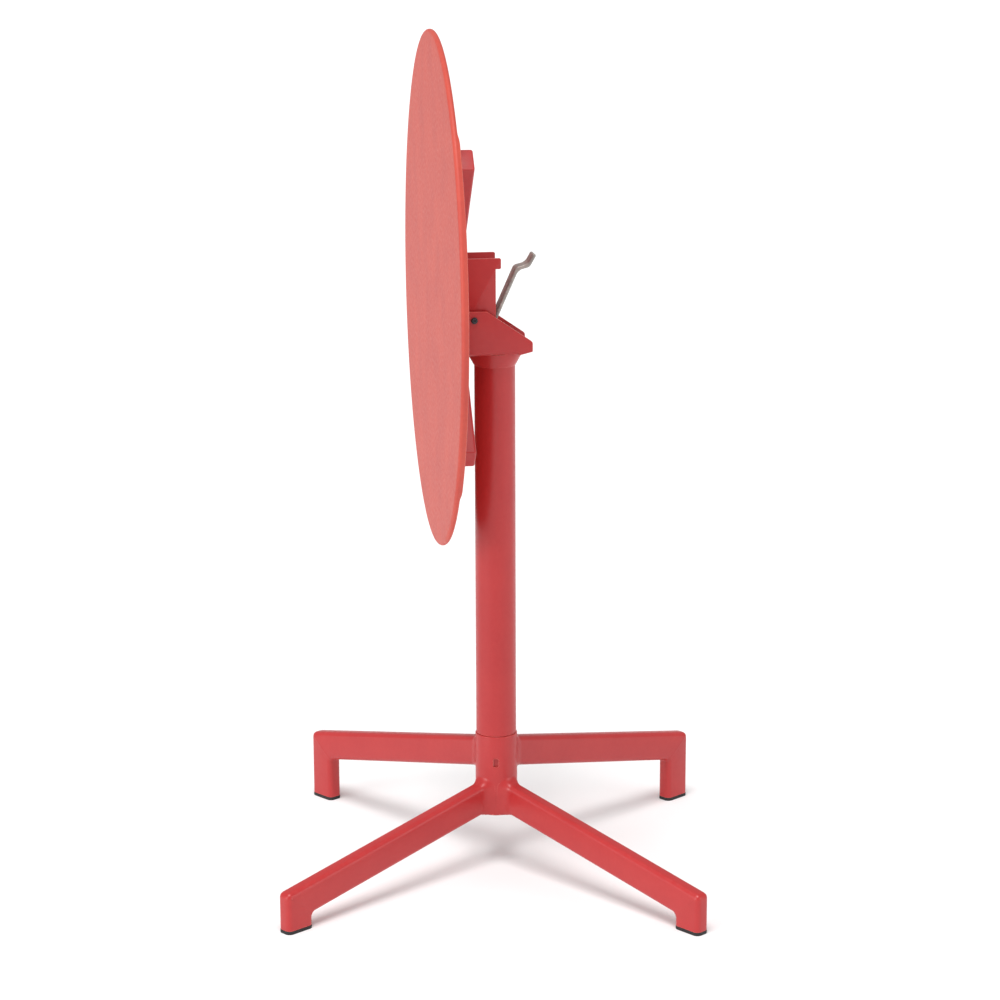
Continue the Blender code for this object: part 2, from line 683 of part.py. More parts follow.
def make_spring(finish):
    """Torsion spring on the lever's pin, on the far side of the eye. Its arm runs along the lever
    and its end is bent in under the bar."""
    way = Vector((math.cos(LEVER_RISE), 0, math.sin(LEVER_RISE)))
    coil_r = LEVER_PIN_R + RUN_FIT + GAP + SPRING_WIRE_R
    pitch = 2 * SPRING_WIRE_R + GAP
    beside = LEVER_W / 2 + GAP + SPRING_WIRE_R
    steps = round(SPRING_TURNS * SPRING_STEPS)
    under = LEVER_RISE - math.pi / 2
    points = []
    for i in range(steps, -1, -1):
        turns = i / SPRING_STEPS
        angle = under - 2 * math.pi * turns
        across = beside + pitch * turns
        points.append(Vector((coil_r * math.cos(angle), across, coil_r * math.sin(angle))))
    elbow = points[-1] + way * SPRING_TAIL
    inward = Vector((0, -1, 0))
    turn_r = 2 * SPRING_WIRE_R
    for i in range(5):
        angle = math.radians(22.5 * i)
        points.append(elbow + way * turn_r * math.sin(angle) + inward * turn_r * (1 - math.cos(angle)))
    points.append(points[-1] + inward * SPRING_HOOK)
    line = bpy.data.curves.new("lever_spring", "CURVE")
    line.dimensions = "3D"
    line.bevel_depth = SPRING_WIRE_R
    line.bevel_resolution = 2
    line.use_fill_caps = True
    spline = line.splines.new("POLY")
    spline.points.add(len(points) - 1)
    for place, point in zip(spline.points, points):
        place.co = (*point, 1)
    line.materials.append(finish["steel"])
    spring = bpy.data.objects.new("lever_spring", line)
    spring.location = LEVER_AXIS
    bpy.context.scene.collection.objects.link(spring)


# ---- Column and hub -------------------------------------------------------------------------
def make_column(finish):
    tube = ring(COLUMN_R - COLUMN_WALL, COLUMN_R, HUB_TOP + GAP, HEAD_SEAT - GAP)
    solid("column_tube", tube, finish["frame"])


def make_hub(finish):
    """The hub's recess and set screw face the front, between the two front legs."""
    spigot_end = HUB_TOP + HUB_SPIGOT
    profile = [
        (0, HUB_BOTTOM), (HUB_R - HUB_BEVEL, HUB_BOTTOM), (HUB_R, HUB_BOTTOM + HUB_BEVEL),
        (HUB_R, HUB_TOP - HUB_BEVEL), (HUB_R - HUB_BEVEL, HUB_TOP), (SPIGOT_R, HUB_TOP),
        (SPIGOT_R, spigot_end), (0, spigot_end),
    ]
    hub = solid("hub", turned(profile, UPRIGHT), finish["frame"])
    well = rod(HUB_WELL_R, HUB_BOTTOM - PAST, HUB_WELL_TOP)
    bore = rod(ROD_R + RUN_FIT, HUB_WELL_TOP - PAST, spigot_end + PAST, sides=SMALL)
    turn = Matrix.Rotation(BASE_TURN, 4, "Z")
    mark_z = HUB_TOP - MARK_DROP
    low = (-MARK_W / 2, -HUB_R - PAST, mark_z - MARK_H / 2)
    high = (MARK_W / 2, -HUB_R + MARK_DEEP, mark_z + MARK_H / 2)
    mark = box(low, high)
    bmesh.ops.transform(mark, matrix=turn, verts=mark.verts)
    sideways = turn @ Matrix.Translation((0, 0, mark_z)) @ Matrix.Rotation(math.radians(90), 4, "X")
    outer = HUB_R - MARK_DEEP - SET_SCREW_SINK
    inner = outer - SET_SCREW_L
    screw_bore = rod(SET_SCREW_R + RUN_FIT, inner - GAP, HUB_R + PAST, sideways, SMALL)
    cut(
        hub,
        helper("hub_well", well),
        helper("hub_bore", bore),
        helper("hub_mark", mark),
        helper("set_screw_bore", screw_bore),
    )
    screw = solid("set_screw", rod(SET_SCREW_R, inner, outer, sideways, SMALL), finish["dark"])
    socket = rod(HEX_SOCKET_R, outer - HEX_SOCKET_DEEP, outer + PAST, sideways, 6)
    cut(screw, helper("set_screw_socket", socket))


def make_tie_rod(finish):
    top = HEAD_SEAT - SPIGOT_L + ROD_GRIP
    washer_top = HUB_WELL_TOP - GAP
    nut_top = washer_top - ROD_WASHER_T - GAP
    solid("tie_rod", rod(ROD_R, nut_top - ROD_NUT_H - ROD_END, top, sides=SMALL), finish["steel"])
    bore = ROD_R + RUN_FIT
    washer = ring(bore, ROD_WASHER_R, washer_top - ROD_WASHER_T, washer_top, sides=SMALL)
    solid("tie_washer", washer, finish["steel"])
    solid("tie_nut", ring_nut(bore, ROD_NUT_R, nut_top - ROD_NUT_H, nut_top, UPRIGHT), finish["steel"])


# ---- Legs and glides ------------------------------------------------------------------------
def leg_outline(outer, inner, inset):
    """Side view of a leg as (reach, height), its edges drawn in by inset."""
    start = HUB_R - LEG_START
    slope = (inner - outer) / (LEG_REACH - HUB_R)
    tilt = math.atan(slope)
    upper = inset / math.cos(tilt)
    lower = (LEG_H - inset) / math.cos(tilt)

    def top_at(reach):
        return outer + slope * (LEG_REACH - reach)

    toe = LEG_REACH - inset
    heel = LEG_REACH - FOOT_L + inset
    foot = GLIDE_H + GAP
    corner = (toe, top_at(toe) - upper)
    elbow = (heel, top_at(heel) - lower)
    start_top = (start, top_at(start) - upper)
    start_low = (start, top_at(start) - lower)
    crown = fillet(corner, start_top, (toe, foot), FOOT_ROUND - inset, 4)
    hollow = fillet(elbow, (heel, foot), start_low, FOOT_FILLET + inset, 3)
    return [start_top] + crown + [(toe, foot), (heel, foot)] + hollow + [start_low]


def leg_shape(outer, inner, azimuth):
    """Outlines stacked across the width, drawn in towards both sides so that the edges are round."""
    half = LEG_W / 2
    layers = []
    for degrees in (90, 60, 30, 0):
        a = math.radians(degrees)
        layers.append((-half + LEG_ROUND * (1 - math.sin(a)), LEG_ROUND * (1 - math.cos(a))))
    layers += [(-across, inset) for across, inset in reversed(layers)]
    turn = Matrix.Rotation(azimuth, 4, "Z")
    rings = []
    for across, inset in layers:
        outline = leg_outline(outer, inner, inset)
        rings.append([turn @ Vector((reach, across, height)) for reach, height in outline])
    return loft(rings)


def glide_outline(grow):
    half_l, half_w = FOOT_L / 2 + grow, LEG_W / 2 + grow
    radius = LEG_ROUND + grow
    return rounded(
        [(-half_l, -half_w), (half_l, -half_w), (half_l, half_w), (-half_l, half_w)], [radius] * 4, 4
    )


def make_legs(finish):
    places = {
        "front_left": (-135, FRONT_OUT, FRONT_IN),
        "front_right": (-45, FRONT_OUT, FRONT_IN),
        "back_right": (45, BACK_OUT, BACK_IN),
        "back_left": (135, BACK_OUT, BACK_IN),
    }
    middle = LEG_REACH - FOOT_L / 2
    for name, (degrees, outer, inner) in places.items():
        azimuth = math.radians(degrees) + BASE_TURN
        leg = solid(f"{name}_leg", leg_shape(outer, inner, azimuth), finish["frame"])
        cope = rod(HUB_R + GAP, HUB_BOTTOM - LEG_H, HUB_TOP + LEG_H)
        stand = Matrix.Rotation(azimuth, 4, "Z") @ Matrix.Translation((middle, 0, 0))
        peg_end = GLIDE_H + GLIDE_PEG_L
        bore = rod(GLIDE_PEG_R + RUN_FIT, 0, peg_end + GAP, stand, TINY)
        cut(leg, helper(f"{name}_cope", cope), helper(f"{name}_peg_bore", bore))
        layers = ((0, GLIDE_GROW - GLIDE_EDGE), (GLIDE_EDGE, GLIDE_GROW), (GLIDE_H, GLIDE_GROW))
        pad = loft([[stand @ Vector((x, y, h)) for x, y in glide_outline(grow)] for h, grow in layers])
        glide = solid(f"{name}_glide", pad, finish["rubber"])
        join(glide, helper(f"{name}_peg", rod(GLIDE_PEG_R, GLIDE_H / 2, peg_end, stand, TINY)))


def main():
    for old in list(bpy.data.objects):
        bpy.data.objects.remove(old, do_unlink=True)
    finish = make_finishes()
    make_top(finish)
    make_brace(finish)
    make_channel(finish)
    make_screws(finish)
    make_latch_bar(finish)
    make_head(finish)
    make_pivot(finish)
    make_lever(finish)
    make_lever_pins(finish)
    make_spring(finish)
    make_column(finish)
    make_hub(finish)
    make_tie_rod(finish)
    make_legs(finish)


main()
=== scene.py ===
import json
import math

import bmesh
import bpy
from mathutils import Matrix, Vector


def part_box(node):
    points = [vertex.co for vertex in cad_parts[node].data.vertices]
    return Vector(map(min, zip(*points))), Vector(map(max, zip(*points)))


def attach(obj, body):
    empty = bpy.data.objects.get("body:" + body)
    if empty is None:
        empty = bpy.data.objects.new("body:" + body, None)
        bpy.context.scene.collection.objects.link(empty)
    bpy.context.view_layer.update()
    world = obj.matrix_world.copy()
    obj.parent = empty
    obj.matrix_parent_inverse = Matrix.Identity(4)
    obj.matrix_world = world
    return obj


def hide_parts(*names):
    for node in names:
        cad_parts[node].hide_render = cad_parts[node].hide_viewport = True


# Folded bistro table: a round sheet-metal top hangs upright on a tilt head, over a tube column
# with four legs. Metres, +Z up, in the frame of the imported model.
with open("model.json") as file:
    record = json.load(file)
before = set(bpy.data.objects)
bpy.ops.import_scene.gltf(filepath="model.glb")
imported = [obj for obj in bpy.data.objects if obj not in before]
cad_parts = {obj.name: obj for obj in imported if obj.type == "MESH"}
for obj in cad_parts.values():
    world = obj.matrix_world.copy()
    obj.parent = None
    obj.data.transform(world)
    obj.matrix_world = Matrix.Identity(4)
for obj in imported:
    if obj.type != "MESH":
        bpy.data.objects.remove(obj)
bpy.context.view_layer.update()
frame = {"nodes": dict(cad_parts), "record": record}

# ---- Places read from the frame -------------------------------------------------------------
RECORD = frame["record"]
JOINTS = {joint["name"]: Vector(joint["pos_m"]) for joint in RECORD["behaviour"]["joints"]}
FEET = {
    mount["name"].removesuffix("_foot"): Vector(mount["pos_m"])
    for mount in RECORD["mounts"]
    if mount["name"].endswith("_foot")
}
PIVOT = JOINTS["top_tilt"]
LEVER_AXIS = JOINTS["lever_fold"]

TOP_LOW, TOP_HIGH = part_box("tabletop")
TOP_X = TOP_LOW.x
TOP_R = (TOP_HIGH.y - TOP_LOW.y) / 2
TOP_Z = (TOP_HIGH.z + TOP_LOW.z) / 2
_, BRACE_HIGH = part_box("brace_long")
CHANNEL_LOW, CHANNEL_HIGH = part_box("tilt_channel")
HEAD_LOW, HEAD_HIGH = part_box("tilt_head")
HUB_LOW, HUB_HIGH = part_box("hub")
COLUMN_LOW, COLUMN_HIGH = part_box("column_tube")
LEVER_LOW, LEVER_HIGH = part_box("lever")
HUB_R = HUB_HIGH.x
COLUMN_R = COLUMN_HIGH.x
HUB_TOP = COLUMN_LOW.z
BASE_TURN = math.atan2(FEET["back_right"].y, FEET["back_right"].x) - math.radians(45)

# ---- Sizes of the visible shapes --------------------------------------------------------------
GAP = 0.0003
PAST = 0.005                 # how far a cutter runs past the face that it opens
MERGE = 0.000001
EDGE = 0.0005                # broken edges of channel, lugs and lever eye

RIM_DEEP = 0.007             # rolled rim, from the upper face to its free side
RIM_WIDE = 0.010
RIM_END = 80                 # degrees at which the nose's arc meets the bead
BEAD_PROUD = 0.0004          # bead's outer side, beyond the middle of the nose
BEAD_DROP = 0.0001
BEAD_EASE = 0.0012           # width of the bead's eased outer edge
BEAD_ROUND = ((0.0008, 0), (0.0002, -0.0002), (0, -0.0008))         # outward and up, from its inner corner
BEAD_FOOT = ((-0.0002, 0.0016), (-0.0008, 0.0005), (-0.0020, 0))    # the same, from its foot on the sheet
SHEET_T = 0.003
FACE_RING = 0.55             # share of the radius at which the face has a ring of points
FACE_MARGIN = 0.004          # its last ring of points, inside the bead
LIP_DEEP = 0.0018            # extra depth of the rim on the two flanks
LIP_START = 0.002            # it takes in what lies this far above the sheet
LIP_REACH = 0.002            # and less than this outside the bead
LIP_HALF_ANGLE = math.radians(43)
LIP_BLEND = math.radians(2.5)

BRACE_L = 0.490
BRACE_W = 0.030
BRACE_ROUND = 0.0028
BRACE_WELD = 0.0025
BRACE_CAP_ROUND = 0.0016

CHANNEL_T = 0.003
CHANNEL_BEND = 0.0055
CHANNEL_HUB_R = 0.0245       # rounded end of the flanges about the hinge
CHANNEL_SHOULDER = math.radians(24)
CHANNEL_TOE, CHANNEL_HEEL = 0.62, 0.5    # ends of its flat, as shares of its radius
CHANNEL_WEB_END = 0.0155
CHANNEL_ROUNDS = (0, 0.002, 0.002, 0, 0.010, 0.014, 0.012, 0)
TAB_L = 0.013
TAB_H = 0.0064
SCREW_R = 0.0025
SCREW_HEAD_H = 0.0026
SCREW_RIM_H = 0.0008
SCREW_BREAK = 0.0003
SCREW_DOME_DROP = 0.0035     # centre of the button's dome under its seat
SCREW_DOME_START = 52        # degrees
SCREW_SOCKET_R = 0.0017
SCREW_SOCKET_DEEP = 0.0015

CHEEK_T = 0.005
HEAD_BEND = 0.0048
HEAD_EDGE = 0.0007
FLOOR_T = 0.004
HEAD_TOP = 0.7080
HEAD_BOTTOM = 0.6540
HEAD_FLAT_END = -0.0138
NOSE_TOP = 0.6698
NOSE_BOTTOM = 0.6580
NOSE_CUT = 0.0250
HEAD_ROUNDS = (0, 0.003, 0.0015, 0.004, 0.004, 0.009)
CHEEK_HOLE = (0.0249, 0.6808)    # blind, in the far cheek's inner face
CHEEK_HOLE_R = 0.0016
CHEEK_HOLE_DEEP = 0.003
NOTCH_X = (-0.009, 0.011)    # shallow notch in each cheek's lower edge
NOTCH_H = 0.0018
NOTCH_DEEP = 0.0012
COLLAR_R = 0.0345            # weld-blended collar under the head
COLLAR_LAP = 0.0092          # how far it runs down over the column
COLLAR_EDGE = 0.0003
LUG_T = 0.004
LUG_TOP = 0.6947
LUG_BACK, LUG_AHEAD = 0.009, 0.008           # foot of a lug either side of the lever's pin
LUG_TIP_BACK, LUG_TIP_AHEAD = 0.006, 0.007   # and its top
LUG_SHOULDER = 0.002         # height of the shoulder ahead over the pin's axis
LUG_SLANT = 0.006            # height of the slanted edge at the back
LUG_ROUNDS = (0, 0, 0.003, 0.003, 0.003, 0.003)
PIN_STAND = 0.001
PAD_BACK, PAD_AHEAD = 0.005, 0.003           # rest pad either side of the channel tab's middle
PAD_EDGE = 0.0006

BOLT_R = 0.0035
BOLT_BORE = 0.0038
BOLT_FACE = 0.0010           # edge of the head to its flat face
BOLT_EDGE = 0.0008
BOLT_BREAK = 0.0003
BOLT_POINT = 0.0006
BOLT_SOCKET_R = 0.0022
BOLT_SOCKET_DEEP = 0.0015
WASHER_EDGE = 0.0002
NUT_R = 0.0065
NUT_TURNED = 0.9             # share of its radius that stays flat at the ends
NUT_CONE_OUT, NUT_CONE_DROP = 1.5, 0.25      # slope of its turned corners, as shares of its radius

LEVER_T = 0.0045
LEVER_ROUND = 0.0016
LEVER_TIP_ROUND = 0.0022
LEVER_RISE = math.radians(66)
LEVER_FLAT_RISE = math.radians(14)
LEVER_TIP_RISE = math.radians(60)
LEVER_STRAIGHT = 0.0835
LEVER_FLAT = 0.006
LEVER_TIP = 0.0119
LEVER_TURN_R = 0.009
EYE_R = 0.0058
EYE_BORE = 0.0033

COLUMN_WALL = 0.002
COLUMN_BREAK = (0.0004, 0.0006)              # across and up, at the column's lower end
HUB_RIM = 0.0035             # round under the hub
HUB_TOP_EDGE = 0.001
HUB_WELL_R = 0.018
HUB_WELL_TOP = 0.150
HUB_WELL_EDGE = 0.0012
MARK_DROP = 0.034            # hub's top edge to the middle of the locking screw's recess
MARK_W, MARK_H, MARK_DEEP = 0.0068, 0.011, 0.0030
MARK_ROUND = 0.0018
LOCK_SCREW_R = 0.0027
LOCK_SCREW_L = 0.010
LOCK_SCREW_SINK = 0.0008
LOCK_SCREW_EDGE = 0.0004
LOCK_SOCKET_R = 0.0013
LOCK_SOCKET_DEEP = 0.0015

LEG_W = 0.020
LEG_H = 0.038
LEG_ROUND = 0.0065
LEG_LEAD = 0.008             # how far a leg's blank runs into the hub before it is cut
LEG_HEIGHTS = {"front": (0.0497, 0.1083), "back": (0.0886, 0.1588)}    # upper side at foot and hub
FOOT_L = 0.038
FOOT_ROUND = 0.0072
FOOT_FILLET = 0.0060
MITRE_HALF = 0.0011          # half width of the ground weld across the elbow
MITRE_RISE = 0.00022
WELD_R = 0.0095              # ground weld between a leg and the hub
WELD_MARGIN = 0.0012         # it stays this far inside the hub's ends
WELD_LAP = 0.0006            # how far a welded piece runs into its neighbour
GLIDE_H = 0.004
GLIDE_GROW = 0.0002
GLIDE_EDGE = 0.0005

WIDE_ROUND, ROUND, HINGE_ROUND, SMALL_ROUND, HOLE_ROUND, HEX = 288, 96, 64, 48, 32, 6

SUNS = (                     # strength, softness, azimuth and elevation, angles in degrees
    ("overhead", 2.1, 30, 20, 72),
    ("left_softbox", 1.25, 34, 62, 14),
    ("right_softbox", 0.5, 34, -58, 16),
)
SKY_STRENGTH = 0.46
PAPER_WHITE = 0.95
PAPER_R = 60
PAPER_STEPS = 128
CAMERA_PLACE = (-0.4209, -3.1691, 1.2265)
CAMERA_LENS = 96.19
CAMERA_HEADING = math.radians(7.670)
CAMERA_DOWN = math.radians(13.347)
CAMERA_ROLL = math.radians(-0.218)


# ---- Finishes -----------------------------------------------------------------------------------
def node_group(name, inputs, outputs):
    tree = bpy.data.node_groups.new(name, "ShaderNodeTree")
    for label, kind, value in inputs:
        socket = tree.interface.new_socket(name=label, in_out="INPUT", socket_type=kind)
        if value is not None:
            socket.default_value = value
    for label, kind in outputs:
        tree.interface.new_socket(name=label, in_out="OUTPUT", socket_type=kind)
    return tree, tree.nodes.new("NodeGroupInput"), tree.nodes.new("NodeGroupOutput")


def link(tree, source, target):
    tree.links.new(source, target)


def noise(tree, vector, scale, detail, rough):
    """A noise texture, its scale a socket or a number of cells to the metre."""
    node = tree.nodes.new("ShaderNodeTexNoise")
    node.inputs["Detail"].default_value = detail
    node.inputs["Roughness"].default_value = rough
    link(tree, vector, node.inputs["Vector"])
    if isinstance(scale, float):
        node.inputs["Scale"].default_value = scale
    else:
        link(tree, scale, node.inputs["Scale"])
    return node.outputs["Fac"]


def spread(tree, value, low, high, to_low=0.0, to_high=1.0):
    node = tree.nodes.new("ShaderNodeMapRange")
    node.clamp = True
    link(tree, value, node.inputs["Value"])
    for label, given in (("From Min", low), ("From Max", high), ("To Min", to_low), ("To Max", to_high)):
        if isinstance(given, float):
            node.inputs[label].default_value = given
        else:
            link(tree, given, node.inputs[label])
    return node.outputs["Result"]


def mixed(tree, factor, first, second):
    node = tree.nodes.new("ShaderNodeMix")
    node.data_type = "RGBA"
    link(tree, factor, node.inputs["Factor"])
    for label, given in (("A", first), ("B", second)):
        socket = next(s for s in node.inputs if s.name == label and s.type == "RGBA")
        if isinstance(given, tuple):
            socket.default_value = (*given, 1)
        else:
            link(tree, given, socket)
    return next(s for s in node.outputs if s.type == "RGBA")


def maths(tree, operation, first, second):
    node = tree.nodes.new("ShaderNodeMath")
    node.operation = operation
    for socket, given in zip(node.inputs, (first, second)):
        if isinstance(given, float):
            socket.default_value = given
        else:
            link(tree, given, socket)
    return node.outputs[0]


def make_peel_group():
    """The skin of a baked coating: fine grain over a soft, wider peel."""
    tree, given, made = node_group(
        "coating_peel",
        [
            ("Coordinates", "NodeSocketVector", None),
            ("Grain per metre", "NodeSocketFloat", 900.0),
            ("Peel per metre", "NodeSocketFloat", 220.0),
            ("Smoothest", "NodeSocketFloat", 0.4),
            ("Roughest", "NodeSocketFloat", 0.5),
        ],
        [("Height", "NodeSocketFloat"), ("Roughness", "NodeSocketFloat")],
    )
    grain = noise(tree, given.outputs["Coordinates"], given.outputs["Grain per metre"], 2.0, 0.5)
    peel = noise(tree, given.outputs["Coordinates"], given.outputs["Peel per metre"], 2.0, 0.45)
    height = maths(tree, "ADD", maths(tree, "MULTIPLY", grain, 0.45), peel)
    link(tree, height, made.inputs["Height"])
    rough = spread(tree, peel, 0.35, 0.65, given.outputs["Smoothest"], given.outputs["Roughest"])
    link(tree, rough, made.inputs["Roughness"])
    return tree


def make_tone_group():
    """Slow drift of a colour between a light and a deep shade, with a faint finer mottle in it."""
    tree, given, made = node_group(
        "colour_drift",
        [
            ("Coordinates", "NodeSocketVector", None),
            ("Patches per metre", "NodeSocketFloat", 18.0),
            ("Mottle per metre", "NodeSocketFloat", 160.0),
            ("Light", "NodeSocketColor", None),
            ("Deep", "NodeSocketColor", None),
        ],
        [("Color", "NodeSocketColor")],
    )
    patch = noise(tree, given.outputs["Coordinates"], given.outputs["Patches per metre"], 3.0, 0.55)
    mottle = noise(tree, given.outputs["Coordinates"], given.outputs["Mottle per metre"], 3.0, 0.6)
    blend = maths(tree, "ADD", maths(tree, "MULTIPLY", patch, 0.7), maths(tree, "MULTIPLY", mottle, 0.3))
    share = spread(tree, blend, 0.35, 0.65)
    color = mixed(tree, share, given.outputs["Light"], given.outputs["Deep"])
    link(tree, color, made.inputs["Color"])
    return tree


def make_wear_and_highlight_group():
    """1 along the sharp edges and 0 elsewhere: the coating's thinner skin and rubbed metal there, and a
    painted highlight on coated edges.
    """
    tree, given, made = node_group(
        "edge_wear_and_highlight",
        [("Coordinates", "NodeSocketVector", None)],
        [("Mask", "NodeSocketFloat")],
    )
    rounding = tree.nodes.new("ShaderNodeBevel")
    rounding.samples = 4
    rounding.inputs["Radius"].default_value = 0.0009
    surface = tree.nodes.new("ShaderNodeNewGeometry")
    facing = tree.nodes.new("ShaderNodeVectorMath")
    facing.operation = "DOT_PRODUCT"
    link(tree, rounding.outputs["Normal"], facing.inputs[0])
    link(tree, surface.outputs["Normal"], facing.inputs[1])
    edge = spread(tree, facing.outputs["Value"], 0.995, 0.90)
    breakup = noise(tree, given.outputs["Coordinates"], 350.0, 3.0, 0.6)
    wear_highlight_mask = maths(tree, "MULTIPLY", edge, spread(tree, breakup, 0.3, 0.6, 0.45, 1.0))
    link(tree, wear_highlight_mask, made.inputs["Mask"])
    return tree


def place_group(tree, group, coordinates, **values):
    node = tree.nodes.new("ShaderNodeGroup")
    node.node_tree = group
    link(tree, coordinates, node.inputs["Coordinates"])
    for label, value in values.items():
        socket = node.inputs[label.replace("_", " ")]
        socket.default_value = (*value, 1) if isinstance(value, tuple) else value
    return node


def start_material(name):
    made = bpy.data.materials.new(name)
    made.use_nodes = True
    tree = made.node_tree
    coordinates = tree.nodes.new("ShaderNodeTexCoord").outputs["Object"]
    return made, tree, tree.nodes["Principled BSDF"], coordinates


def add_relief(tree, shader, height, depth):
    bump = tree.nodes.new("ShaderNodeBump")
    bump.inputs["Strength"].default_value = 1.0
    bump.inputs["Distance"].default_value = depth
    link(tree, height, bump.inputs["Height"])
    link(tree, bump.outputs["Normal"], shader.inputs["Normal"])


def make_coating(name, groups, light, deep, edge, smoothest, roughest, depth, mottle):
    """Baked powder coating: drifting colour, orange peel, and a lighter line on the sharp edges, partly its
    thinner skin there and partly a painted highlight.
    """
    peel, tone, wear_highlight_group = groups
    made, tree, shader, coordinates = start_material(name)
    colour = place_group(tree, tone, coordinates, Light=light, Deep=deep, Mottle_per_metre=mottle)
    edges = place_group(tree, wear_highlight_group, coordinates)
    # Lighter edge colour: partly the thinner coat, partly a painted highlight for the light that sharp
    # edges catch.
    color = mixed(tree, edges.outputs["Mask"], colour.outputs["Color"], edge)
    link(tree, color, shader.inputs["Base Color"])
    skin = place_group(tree, peel, coordinates, Smoothest=smoothest, Roughest=roughest)
    link(tree, skin.outputs["Roughness"], shader.inputs["Roughness"])
    add_relief(tree, shader, skin.outputs["Height"], depth)
    return made


def make_cast_steel(groups):
    """Bare blanked and tumbled steel: dull skin with dark pores, brighter on its edges."""
    peel, tone, wear_highlight_group = groups
    made, tree, shader, coordinates = start_material("bare_lever_steel")
    colour = place_group(
        tree, tone, coordinates,
        Light=(0.50, 0.46, 0.42), Deep=(0.25, 0.225, 0.21), Patches_per_metre=60.0, Mottle_per_metre=420.0,
    )
    pores = spread(tree, noise(tree, coordinates, 1300.0, 3.0, 0.7), 0.60, 0.70)
    pitted = mixed(tree, pores, colour.outputs["Color"], (0.08, 0.07, 0.07))
    edges = place_group(tree, wear_highlight_group, coordinates)
    color = mixed(tree, edges.outputs["Mask"], pitted, (0.50, 0.47, 0.44))
    link(tree, color, shader.inputs["Base Color"])
    shader.inputs["Metallic"].default_value = 0.55
    skin = place_group(
        tree, peel, coordinates,
        Grain_per_metre=1500.0, Peel_per_metre=520.0, Smoothest=0.42, Roughest=0.66,
    )
    link(tree, skin.outputs["Roughness"], shader.inputs["Roughness"])
    add_relief(tree, shader, skin.outputs["Height"], 0.00022)
    return made


def make_plated_steel(name, groups, light, deep, metallic, smoothest, roughest):
    """Plated or blackened fastener steel with a faint cloud in its finish."""
    peel, tone, wear_highlight_group = groups
    made, tree, shader, coordinates = start_material(name)
    colour = place_group(
        tree, tone, coordinates,
        Light=light, Deep=deep, Patches_per_metre=140.0, Mottle_per_metre=700.0,
    )
    edges = place_group(tree, wear_highlight_group, coordinates)
    rubbed = tuple(min(1.0, 1.6 * channel + 0.04) for channel in light)
    color = mixed(tree, edges.outputs["Mask"], colour.outputs["Color"], rubbed)
    link(tree, color, shader.inputs["Base Color"])
    shader.inputs["Metallic"].default_value = metallic
    skin = place_group(
        tree, peel, coordinates,
        Grain_per_metre=2200.0, Peel_per_metre=700.0, Smoothest=smoothest, Roughest=roughest,
    )
    link(tree, skin.outputs["Roughness"], shader.inputs["Roughness"])
    add_relief(tree, shader, skin.outputs["Height"], 0.00003)
    return made


def make_moulded(name, groups, light, deep, smoothest, roughest, depth):
    """Moulded rubber or nylon with a fine spark-eroded grain."""
    peel, tone, _ = groups
    made, tree, shader, coordinates = start_material(name)
    colour = place_group(
        tree, tone, coordinates,
        Light=light, Deep=deep, Patches_per_metre=90.0, Mottle_per_metre=600.0,
    )
    link(tree, colour.outputs["Color"], shader.inputs["Base Color"])
    skin = place_group(
        tree, peel, coordinates,
        Grain_per_metre=2400.0, Peel_per_metre=900.0, Smoothest=smoothest, Roughest=roughest,
    )
    link(tree, skin.outputs["Roughness"], shader.inputs["Roughness"])
    add_relief(tree, shader, skin.outputs["Height"], depth)
    return made


def make_finishes():
    groups = (make_peel_group(), make_tone_group(), make_wear_and_highlight_group())
    return {
        # The edge colours of both coatings are partly painted highlights along the sharp edges.
        "top_red": make_coating(
            # Lighter than the frame's red: partly the top's own matt paint, partly a painted sheen for the
            # light that grazes its face.
            "matt_top_coating_painted_sheen", groups,
            light=(0.585, 0.074, 0.046), deep=(0.520, 0.058, 0.040), edge=(0.72, 0.17, 0.12),
            smoothest=0.50, roughest=0.62, depth=0.00011, mottle=240.0,
        ),
        "frame_red": make_coating(
            "satin_frame_coating", groups,
            light=(0.478, 0.028, 0.028), deep=(0.440, 0.022, 0.024), edge=(0.80, 0.20, 0.16),
            smoothest=0.30, roughest=0.40, depth=0.00005, mottle=160.0,
        ),
        "lever_steel": make_cast_steel(groups),
        "zinc_steel": make_plated_steel(
            "zinc_plating", groups,
            light=(0.56, 0.56, 0.55), deep=(0.42, 0.42, 0.43), metallic=1.0, smoothest=0.28, roughest=0.42,
        ),
        "dark_steel": make_plated_steel(
            "black_oxide", groups,
            light=(0.050, 0.050, 0.055), deep=(0.028, 0.028, 0.032), metallic=0.7,
            smoothest=0.30, roughest=0.45,
        ),
        "glide_black": make_moulded(
            "black_glide_rubber", groups,
            light=(0.016, 0.016, 0.016), deep=(0.009, 0.009, 0.010),
            smoothest=0.55, roughest=0.75, depth=0.00005,
        ),
        "bush_nylon": make_moulded(
            "natural_nylon", groups,
            light=(0.58, 0.56, 0.50), deep=(0.50, 0.48, 0.43), smoothest=0.45, roughest=0.60, depth=0.00003,
        ),
    }


# ---- Mesh tools -------------------------------------------------------------------------------
def verts_of(result, key="geom"):
    return [item for item in result[key] if isinstance(item, bmesh.types.BMVert)]


def edges_of(result, key="geom"):
    return [item for item in result[key] if isinstance(item, bmesh.types.BMEdge)]


def round_corners(bm, corners, segments):
    """Rounds the corners of a flat face, each (vertex, radius) by its own radius."""
    for vert, radius in corners:
        first, second = [(edge.other_vert(vert).co - vert.co) for edge in vert.link_edges]
        turn = math.pi - first.angle(second)
        bmesh.ops.bevel(
            bm, geom=[vert], offset=radius * math.tan(turn / 2), offset_type="OFFSET",
            segments=segments, profile=0.5, affect="VERTICES", material=-1,
        )


